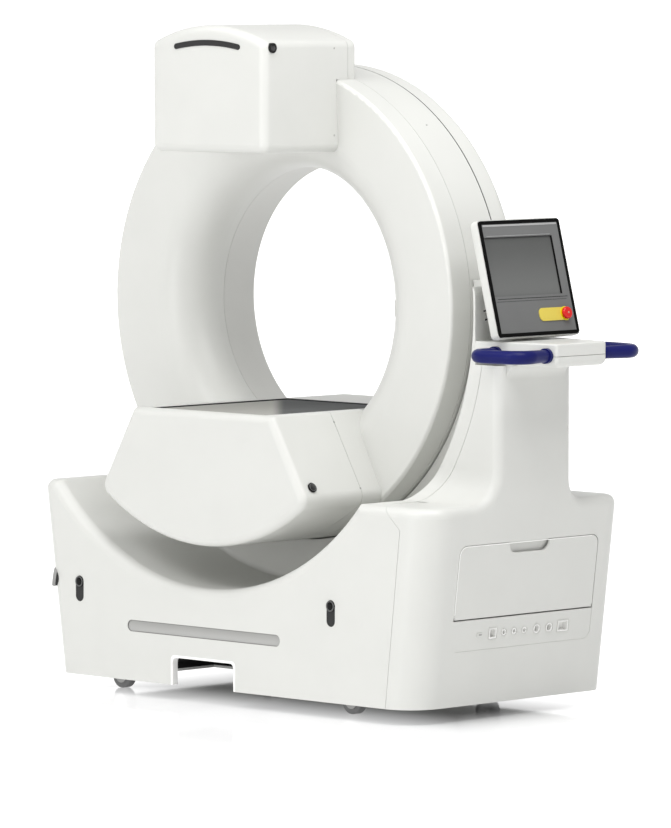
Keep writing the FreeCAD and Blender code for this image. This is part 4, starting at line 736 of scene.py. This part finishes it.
@dataclass
class Ring:
    """The turning ring with its fixed rear moulding and bore sleeve."""

    radius: float = 0.672
    gap: tuple[float, float] = (0.510, 0.514)
    # depth and end ease of the black ring of painted shade in the gap
    shade_depth: float = 0.030
    shade_ease: float = 0.0008
    screws: tuple[float, ...] = (41.0, 131.0, 221.0, 311.0)
    screw_centre: Triple = (0.0, 445.0, 1115.0)
    roll_centre: Triple = (501.0, 437.0, 1113.0)
    roll: float = 0.120
    cap: Triple = (0.022, 0.047, 0.006)

    def build(self) -> None:
        """Dress the ring and add its painted gap shade, bore tab and screws."""
        dress(Look.BODY, "rotor_front_cover", "rotor_rim_cover", "gantry_rear_cover")
        dress(Look.LINER, "gantry_bore_liner")
        dress(Look.CAST, "rotor_drum", "gantry_frame_ring")
        dress(Look.STEEL, "bearing_inner_race", "bearing_outer_race")
        self.paint_gap_shade()
        self.tab()
        for index, angle in enumerate(np.radians(self.screws)):
            out = np.array((math.sin(angle), 0.0, math.cos(angle)))
            place = DATUM.at(*self.screw_centre) + self.radius * out
            Stud().build("rim_screw_%d" % index, place, out, "rotor")

    def paint_gap_shade(self) -> None:
        """A black ring set just inside the gap between the turning and the fixed moulding: painted
        shade, so the gap reads dark all round.
        """
        outer = self.radius - 0.00025
        inner = outer - self.shade_depth
        front, back = self.gap[0] + self.shade_ease, self.gap[1] - self.shade_ease
        profile = [(inner, front), (outer, front), (outer, back), (inner, back)]
        axis = (DATUM.axis_x, DATUM.front, DATUM.axis_z)
        publish("rim_gap_painted_shade", lathe(profile, axis, REAR, 240), Look.GAP_SHADE, "base")

    def tab(self) -> None:
        """The small cap on the rolled edge of the bore, halfway round the roll."""
        out = unit(np.array((-1.0, -1.0, 0.0)))
        place = DATUM.at(*self.roll_centre) + self.roll * out
        patch = plate(oblong(*self.cap), place, np.cross(UP, out), UP, -0.004, 0.007, 0.003)
        publish("bore_cap", patch, Look.BODY, "rotor")


@dataclass
class TubeBox:
    """The box at the ring's top."""

    side: float = 226.0
    lens: Triple = (230.0, 51.0, 1838.0)
    screws: tuple[tuple[float, float], ...] = ((296.0, 1592.0), (296.0, 1835.0))

    def build(self) -> None:
        """Dress the tube box, and add its lens and screws."""
        dress(Look.BODY, "tube_box_cover", "tube_box_rear_cover")
        dress(Look.DARK, "status_light_bar")
        dress(Look.RIM, "positioning_cameras")
        dress(Look.CASE, "xray_tube_unit")
        dress(Look.FRAME, "collimator")
        Lens().build("tube_lens", DATUM.at(*self.lens), (1, 0, 0), "rotor")
        for index, spot in enumerate(self.screws):
            for side in (-1, 1):
                Stud().build("tube_box_screw_%d_%d" % (index, side > 0),
                             DATUM.at(side * self.side, *spot), (side, 0, 0), "rotor")


@dataclass
class Detector:
    """The detector housing with its window."""

    top: float = 821.0
    half: float = 278.0
    flank: float = 30.0
    lens: tuple[float, float] = (194.0, 41.0)
    lens_rise: float = 0.004
    window: Triple = (230.0, 24.0, 567.0)
    frame: float = 0.006
    clips: tuple[tuple[float, float], ...] = ((26.0, 227.0), (205.0, 227.0))

    def on_flank(self, drop: float, y: float, side: int = 1) -> tuple[Array, Array]:
        """A point of the sloping flank and the direction out of it.

        Args:
            drop: how far below the top, in millimetres.
            y: how far behind the base's front.
            side: -1 for the left flank, 1 for the right.

        Returns:
            The point and the unit vector.
        """
        slope = math.radians(self.flank)
        place = DATUM.at(side * (self.half + math.tan(slope) * drop), y, self.top - drop)
        return place, np.array((side * math.cos(slope), 0.0, math.sin(slope)))

    def build(self) -> None:
        """Dress the housing, and add its lens, the window's rim and the seam's clips."""
        dress(Look.BODY, "detector_front_cover", "detector_rear_cover")
        dress(Look.WINDOW_REFLECTION, "detector_window")
        dress(Look.CASE, "flat_panel_detector")
        place, out = self.on_flank(*self.lens)
        Lens(ring=True).build("detector_lens", place + self.lens_rise * out, out, "rotor")
        half, front, rear = self.window
        middle = DATUM.at(0, (front + rear) / 2, self.top)
        outline = oblong(2 * half / 1000, (rear - front) / 1000, 0.003)
        rim = border(outline, self.frame, middle, (1, 0, 0), REAR, -0.0039, -0.0006)
        publish("window_rim", rim, Look.FRAMING, "rotor")
        for index, spot in enumerate(self.clips):
            for side in (-1, 1):
                place, out = self.on_flank(*spot, side)
                Stud(0.0030).build("detector_clip_%d_%d" % (index, side > 0), place, out, "rotor")


@dataclass
class Base:
    """The wheeled base with its column, windows, door and connectors."""

    eyes: Triple = (504.0, -2.8, 310.5)
    slot: Triple = (306.0, 33.0, 199.0)
    # width of the slot's band of painted shade
    shade_band: float = 0.0016
    bumper_foot: Triple = (-585.4, 40.0, 309.0)
    bumper_reach: float = 0.046
    bumper_radius: float = 0.0272
    bumper_turn: float = 42.0
    bumper_lean: float = 8.0
    side: Triple = (813.0, 43.0, 7.2)
    door: tuple[float, ...] = (0.132, 0.693, 0.242, 0.450, 0.027)
    door_gap: float = 0.0018
    lip: float = 0.0024
    lip_start: float = 0.016
    lip_rise: float = 0.0008
    port_level: float = 0.19625
    port_edge: float = 5.0
    port_rim: float = 0.0012
    latch: Triple = (0.022, 0.011, 0.002)
    latch_slot: Triple = (0.012, 0.0035, 0.001)
    ports: tuple[tuple[float, float, float], ...] = (
        (296.0, 29.0, 29.0), (341.0, 17.0, 0.0), (382.0, 17.0, 0.0), (423.0, 17.0, 0.0),
        (473.0, 25.0, 0.0), (524.0, 25.0, 0.0), (580.0, 42.0, 30.0))

    def build(self) -> None:
        """Dress the base, and add the small pieces in its faces."""
        dress(Look.BODY, "base_front_cover", "cradle_cover", "base_rear_cover",
              "base_left_cover", "base_right_cover", "connector_panel", "service_door")
        # painted highlight on the docking notch's lip
        dress(Look.LIP_HIGHLIGHT, "docking_frame")
        dress(Look.PORT_LIT, "signal_ports", "power_inlet")
        dress(Look.STRIP, "light_strip")
        dress(Look.DARK, "sensor_windows")
        dress(Look.LATCH, "docking_bracket")
        dress(Look.RUBBER, "side_bumper")
        dress(Look.ZINC, "door_hinge_pin")
        for side in (-1, 1):
            place = DATUM.at(side * self.eyes[0], *self.eyes[1:])
            lens = Lens(0.0150, 0.0112, eye=True)
            lens.build("eye_lens_%d" % (side > 0), place, (0, -1, 0), "base")
        self.paint_slot_shade()
        self.bumper_disc()
        self.door_lip_highlight()
        self.port_rims()

    def paint_slot_shade(self) -> None:
        """A thin dark capsule band in the slot's own wall: painted shade round the slot's rim."""
        half, height, level = self.slot
        outline = oblong(2 * half / 1000, height / 1000, height / 2000 * 0.985, 14)
        middle = DATUM.at(0, 0, level)
        patch = border(outline, self.shade_band, middle, (1, 0, 0), UP, -0.0028, -0.0012)
        publish("slot_shade_band", patch, Look.SLOT_SHADE, "base")

    def side_frame(self) -> tuple[Array, Array, Array]:
        """The plane of the leaning right side.

        Returns:
            Its origin, its direction to the rear and its direction upwards.
        """
        x, z, lean = self.side
        slope = math.radians(lean)
        return DATUM.at(x, 0, z), np.array(REAR), np.array((math.sin(slope), 0.0, math.cos(slope)))

    def door_lip_highlight(self) -> None:
        """A bright strip along the door's top and front edges: a painted highlight where the rolled
        lip catches the light.

        It is a strip between the door's outline and the same outline drawn in by the lip's
        width: from the front lower corner up, round the upper front corner, whose points are
        r (cos a, sin a) from its middle, and along the top.
        """
        origin, rear, up = self.side_frame()
        front, back, low, high, r = self.door
        low, high = low + self.lip_start, high - self.door_gap
        front, back = front + self.door_gap, back - self.door_gap

        turn = np.radians(np.linspace(180, 90, 10))
        bend = np.stack((np.cos(turn), np.sin(turn)), -1)
        runs = [np.vstack(((front + inset, low), (front + r, high - r) + (r - inset) * bend,
                           (back - r, high - inset))) for inset in (0.0, self.lip)]
        near, far = (onto(run, origin, rear, up, 0.0) for run in runs)
        out = self.lip_rise * np.cross(rear, up)
        rings = np.stack((near - out, near + out / 4, (near + far) / 2 + out, far + out / 4,
                          far - out), 1)
        publish("door_lip_highlight", stack(rings), Look.LIP_HIGHLIGHT, "door")

    def port_rims(self) -> None:
        """A fine raised rim round each port, and the small latch plate beside them."""
        origin, rear, up = self.side_frame()
        turn = np.radians(np.arange(0, 360, 12))
        circle = np.stack((np.cos(turn), np.sin(turn)), -1) / 2000
        for index, (y, width, height) in enumerate(self.ports):
            wide, tall = width + self.port_edge, height + self.port_edge
            outline = oblong(wide / 1000, tall / 1000, 0.0022, 3) if height else wide * circle
            outline = outline + (y / 1000, self.port_level)
            rim = border(outline, self.port_rim, origin, rear, up, -0.001, 0.0008)
            publish("port_rim_%d" % index, rim, Look.BODY, "base")
        latch = oblong(*self.latch, 3) + (0.243, self.port_level)
        publish("latch_plate", plate(latch, origin, rear, up, -0.001, 0.0012, 0.0008),
                Look.BODY, "base")
        slot = oblong(*self.latch_slot, 3) + (0.244, self.port_level)
        publish("latch_slot", plate(slot, origin, rear, up, 0.0010, 0.0014), Look.DOT, "base")

    def bumper_disc(self) -> None:
        """The pale cap on the bumper's end, as far along the bumper's axis as its face."""
        turn, lean = math.radians(self.bumper_turn), math.radians(self.bumper_lean)
        out = np.array((-math.cos(lean) * math.cos(turn), -math.cos(lean) * math.sin(turn),
                        math.sin(lean)))
        centre = DATUM.at(*self.bumper_foot) + self.bumper_reach * out
        r = self.bumper_radius
        disc = [(0.0, -0.006), (r, -0.006), (r, 0.0015), (r - 0.0016, 0.0035), (0.0, 0.0042)]
        publish("bumper_face", lathe(disc, centre, out), Look.PAD, "base")


@dataclass
class Console:
    """The tilting console with its screen and stop button."""

    origin: Triple = (900.0, 413.0, 1051.0)
    lean: float = 14.6
    face: float = 0.0035
    display: tuple[float, float, float, float] = (-0.1495, 0.1215, 0.116, 0.281)
    button: tuple[float, float] = (0.115, 0.060)
    button_rise: float = 0.0135
    label: float = 0.0025
    label_size: tuple[float, float] = (0.1215, 0.0365)
    rib: Triple = (0.070, 0.0012, 0.0005)
    clip: Triple = (0.016, 0.005, 0.001)
    clip_levels: tuple[float, float] = (0.062, 0.086)

    def strip(self, name: str, low: Sequence[float], high: Sequence[float], under: float,
              over: float, look: Look) -> None:
        """A thin straight bar on the console's face.

        Args:
            name: the piece's name.
            low: its lower left corner across and up the face.
            high: its upper right corner.
            under: height of its underside over the datum plane.
            over: height of its face.
            look: its finish.
        """
        width, height = high[0] - low[0], high[1] - low[1]
        middle = np.array(((low[0] + high[0]) / 2, (low[1] + high[1]) / 2))
        outline = oblong(width, height, 0.3 * min(width, height), 2) + middle
        publish(name, plate(outline, DATUM.at(*self.origin), REAR, self.up, under, over), look,
                "console")

    def stop_plate(self) -> None:
        """The yellow plate under the button: round at both ends, with two fine raised ribs."""
        centre, level = self.button
        length, half = self.label_size[0], self.label_size[1] / 2
        left, right = centre + half - length, centre + half
        outline = rounded([(left, level - half, 0.8 * half), (right, level - half, 0.9 * half),
                           (right, level + half, 0.9 * half), (left, level + half, 0.8 * half)])
        origin, face, top = DATUM.at(*self.origin), self.face, self.face + self.label
        publish("button_plate", plate(outline, origin, REAR, self.up, face - 0.0005, top, 0.0008),
                Look.YELLOW, "console", ("stop_plate",))
        rib = oblong(*self.rib, 2)
        for side in (-1, 1):
            spot = rib + (left + 0.048, level + side * 0.0118)
            publish("plate_rib_%d" % (side > 0),
                    plate(spot, origin, REAR, self.up, top - 0.0005, top + 0.0003),
                    Look.YELLOW, "console")

    @property
    def up(self) -> Array:
        """The direction up the console's face."""
        slope = math.radians(self.lean)
        return np.array((-math.sin(slope), 0.0, math.cos(slope)))

    def build(self) -> None:
        """Dress the console, and add the display's trim, its seam, two strips of painted highlight,
        the collar and the tabs.
        """
        dress(Look.BODY, "console_front_shell", "console_rear_shell")
        dress(Look.BEZEL, "console_bezel")
        dress(Look.PANEL, "control_panel")
        dress(Look.SCREEN_SHEEN, "display")
        dress(Look.RED, "stop_button")
        dress(Look.FRAME, "console_arm")
        left, right, low, high = self.display
        face = self.face
        for name, corner, opposite, under, over, look in (
                ("display_right", (right - 0.0034, low + 0.001), (right, high - 0.001),
                 0.0002, face, Look.BEZEL),
                ("display_top", (left, high - 0.0010), (right - 0.0034, high),
                 0.0002, face + 0.0002, Look.RIM),
                ("display_painted_highlight", (left + 0.010, high + 0.0035), (right - 0.006, high + 0.0045),
                 face - 0.001, face + 0.0003, Look.PANEL_HIGHLIGHT),
                ("panel_seam", (-0.140, 0.1078), (0.140, 0.1092),
                 face - 0.001, face + 0.0003, Look.RIM),
                ("panel_lip", (-0.146, 0.1010), (0.134, 0.1018),
                 face - 0.001, face + 0.0003, Look.RIM),
                ("panel_painted_highlight", (-0.148, 0.3115), (0.148, 0.3165),
                 face - 0.001, face + 0.0006, Look.PANEL_HIGHLIGHT)):
            self.strip(name, corner, opposite, under, over, look)
        self.stop_plate()
        self.collar()
        self.clips()

    def collar(self) -> None:
        """The flat yellow collar round the button, and the mark on the button's face."""
        normal = np.cross(REAR, self.up)
        across, level = self.button
        foot = self.face + self.label
        place = DATUM.at(*self.origin) + across * np.array(REAR) + level * self.up
        ring = [(0.0125, -0.0002), (0.0196, -0.0002), (0.0196, 0.0002), (0.0188, 0.0004),
                (0.0125, 0.0004)]
        publish("button_collar", lathe(ring, place + foot * normal, normal), Look.COLLAR, "console")
        mark = place + (foot + self.button_rise) * normal
        Stud(look=Look.MARK).build("button_mark", mark, normal, "stop_button")

    def clips(self) -> None:
        """Two cable clips on the console's left edge."""
        normal = np.cross(REAR, self.up)
        for index, level in enumerate(self.clip_levels):
            back = DATUM.at(*self.origin) + level * self.up - 0.030 * normal + (0.0, -0.150, 0.0)
            patch = plate(oblong(*self.clip, 2), back, -normal, UP, -0.012, 0.010)
            publish("cable_clip_%d" % index, patch, Look.RIM, "console")


@dataclass
class Tray:
    """The tray and its two push handles."""

    column_face: float = 888.0
    column_top: float = 976.0
    centre: float = 413.0
    half: float = 118.0
    fillet: float = 38.0
    grow: float = 0.0018
    draw: tuple[float, float] = (0.003, 0.017)
    fixed: float = 0.012
    reach: float = 0.075

    def build(self) -> None:
        """Dress the tray and the handles, and add the fillet between column and tray."""
        dress(Look.BODY, "tray_lower_shell", "tray_upper_shell")
        dress(Look.BLUE, "handle_sockets")
        self.gusset()
        for side, name in ((-1, "handle_left"), (1, "handle_right")):
            self.grip(side, name)

    def grip(self, side: int, name: str) -> None:
        """A handle with its soft grip: the CAD tube swollen by `grow` and drawn out by `draw`.

        Every point moves along its normal and outwards, both by a smooth step of its distance
        from the handle's root, from 0 at `fixed` to 1 a `reach` further out.

        Args:
            side: -1 for the left handle, 1 for the right.
            name: the CAD handle that it stands for.
        """
        patch = copied(name)
        low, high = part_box(name)
        root = high.y if side < 0 else low.y
        away = np.clip((np.abs(patch.points[:, 1] - root) - self.fixed) / self.reach, 0, 1)
        step = away * away * (3 - 2 * away)
        patch.points = patch.points + self.grow * step[:, None] * outward(patch)
        patch.points[:, 1] += side * self.draw[side > 0] * step
        publish(name + "_grip", patch, Look.BLUE, "base", (name,))

    def gusset(self) -> None:
        """The hollow fillet under the tray: x = f + r - r cos a, z = t - r + r sin a."""
        f, t, r = self.column_face, self.column_top, self.fillet
        sweep = np.radians(np.linspace(0, 90, 13))
        run = np.stack((f + r - r * np.cos(sweep), t - r + r * np.sin(sweep)), -1)
        run = np.vstack(((f - 1, t - r), run, (f + r, t + 1), (f - 1, t + 1)))
        rings = [DATUM.at(run[:, 0], self.centre + offset, run[:, 1])
                 for offset in np.linspace(-self.half, self.half, 9)]
        publish("tray_gusset", stack(rings), Look.BODY, "base")


@dataclass
class Inside:
    """What the covers hide: drive, frame and electronics."""

    def build(self) -> None:
        """Dress the inner pieces."""
        dress(Look.ZINC, "drive_roller")
        dress(Look.CASE, "drive_motor", "power_unit", "control_computer")
        dress(Look.FRAME, "chassis_frame")


@dataclass
class Casters:
    """The four swivel casters."""

    corners: tuple[str, ...] = ("front_left", "front_right", "rear_left", "rear_right")
    half: float = 0.015
    hub: float = 0.0225
    bore: float = 0.0066

    def build(self) -> None:
        """Dress the casters and cap their hubs."""
        dress(Look.ZINC, "caster_plates")
        dress(Look.FORK, *("caster_fork_" + name for name in self.corners))
        dress(Look.TYRE, *("caster_wheel_" + name for name in self.corners))
        for name in self.corners:
            self.cap(name)

    def cap(self, name: str) -> None:
        """The dished cap on each face of a wheel's hub.

        Args:
            name: the caster's corner.
        """
        low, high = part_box("caster_wheel_" + name)
        middle = np.array((low + high)) / 2
        r = self.hub
        dish = [(self.bore, -0.0004), (r, -0.0004), (r, 0.0006), (0.9 * r, 0.0010),
                (0.75 * r, 0.0002), (0.45 * r, 0.0002), (0.40 * r, 0.0010), (self.bore, 0.0010)]
        for side in (-1, 1):
            place = middle + np.array((0.0, side * self.half, 0.0))
            publish("wheel_cap_%s_%d" % (name, side > 0), lathe(dish, place, (0, side, 0)),
                    Look.HUB, "wheel_" + name)


# ------------------------ studio
@dataclass
class Studio:
    """Floor, soft lights and the camera at the photograph's angle."""

    azimuth: float = 44.60
    elevation: float = 4.04
    distance: float = 17.322
    lens: float = 275.4
    sensor: float = 36.0
    sight: float = 3000.0
    target: Triple = (539.7, -17.2, 842.2)
    reach: float = 900.0
    wall: Triple = (80.0, -0.5, 14.5)
    ambient: float = 0.47
    aim: Triple = (0.0, 0.0, 0.9)
    panels: tuple[tuple[str, Triple, float, float], ...] = (
        ("key", (0.0, -10.0, 11.0), 5.5, 560.0),
        ("top", (2.2, -1.0, 12.0), 6.0, 590.0),
        ("right", (2.0, -0.7, 3.1), 1.3, 29.0),
        ("left", (-3.5, -3.5, 6.0), 3.0, 48.0),
        ("front", (0.0, -8.0, 0.9), 2.5, 105.0))

    def build(self) -> None:
        """Make the floor, the wall behind it, the lights and the camera."""
        self.floor()
        self.backdrop()
        self.surround()
        for panel in self.panels:
            self.panel(*panel)
        self.camera()

    def floor(self) -> None:
        """A wide pale floor with a faint gloss."""
        mesh = bpy.data.meshes.new("floor")
        corners = [(x * self.reach, y * self.reach, 0.0)
                   for x, y in ((-1, -1), (1, -1), (1, 1), (-1, 1))]
        mesh.from_pydata(corners, [], [(0, 1, 2, 3)])
        mesh.materials.append(Look.FLOOR.value.material())
        link("floor", mesh)

    def backdrop(self) -> None:
        """A low round wall far behind, r (cos a, sin a), which hides the horizon on every side."""
        mesh = bpy.data.meshes.new("backdrop")
        radius, low, high = self.wall
        turn = np.linspace(0, 2 * math.pi, 96, endpoint=False)
        rings = [np.stack((radius * np.cos(turn), radius * np.sin(turn), 0 * turn + z), -1)
                 for z in (low, high)]
        mesh.from_pydata(np.vstack(rings).tolist(), [], lattice(2, len(turn), False, True))
        mesh.materials.append(Look.WALL.value.material())
        link("backdrop", mesh)

    def surround(self) -> None:
        """The even white light from all round."""
        world = bpy.data.worlds.new("studio")
        bpy.context.scene.world = world
        world.use_nodes = True
        light = world.node_tree.nodes["Background"].inputs
        light["Color"].default_value = (*WHITE, 1.0)
        light["Strength"].default_value = self.ambient

    def panel(self, name: str, place: Sequence[float], size: float, power: float) -> None:
        """A square soft light that faces the scanner.

        Args:
            name: the light's name.
            place: its centre.
            size: its side.
            power: its power in watts.
        """
        lamp = bpy.data.lights.new(name, "AREA")
        lamp.shape, lamp.size, lamp.size_y, lamp.energy = "RECTANGLE", size, size, power
        light = link(name, lamp)
        light.location = place
        way = Vector(self.aim) - Vector(place)
        light.rotation_euler = way.to_track_quat("-Z", "Y").to_euler()

    def camera(self) -> None:
        """The camera on its line of sight through the target, level with the horizon."""
        azimuth, elevation = math.radians(self.azimuth), math.radians(self.elevation)
        back = Vector((math.sin(azimuth) * math.cos(elevation),
                       -math.cos(azimuth) * math.cos(elevation), math.sin(elevation)))
        data = bpy.data.cameras.new("camera")
        data.lens, data.sensor_fit, data.sensor_height = self.lens, "VERTICAL", self.sensor
        data.clip_end = self.sight
        camera = link("camera", data)
        camera.location = Vector(DATUM.at(*self.target)) + back * self.distance
        camera.rotation_euler = back.to_track_quat("Z", "Y").to_euler()
        bpy.context.scene.camera = camera


def main() -> None:
    """Dress every sub-assembly, then light it and point the camera."""
    for assembly in (Ring(), TubeBox(), Detector(), Base(), Console(), Tray(), Inside(),
                     Casters(), Studio()):
        LOG.info("-- %s", type(assembly).__name__)
        assembly.build()
    bpy.context.scene.view_settings.view_transform = "Standard"
    bpy.context.view_layer.update()


if __name__ == "__main__":
    logging.basicConfig(level=logging.INFO, format="%(message)s")
    main()
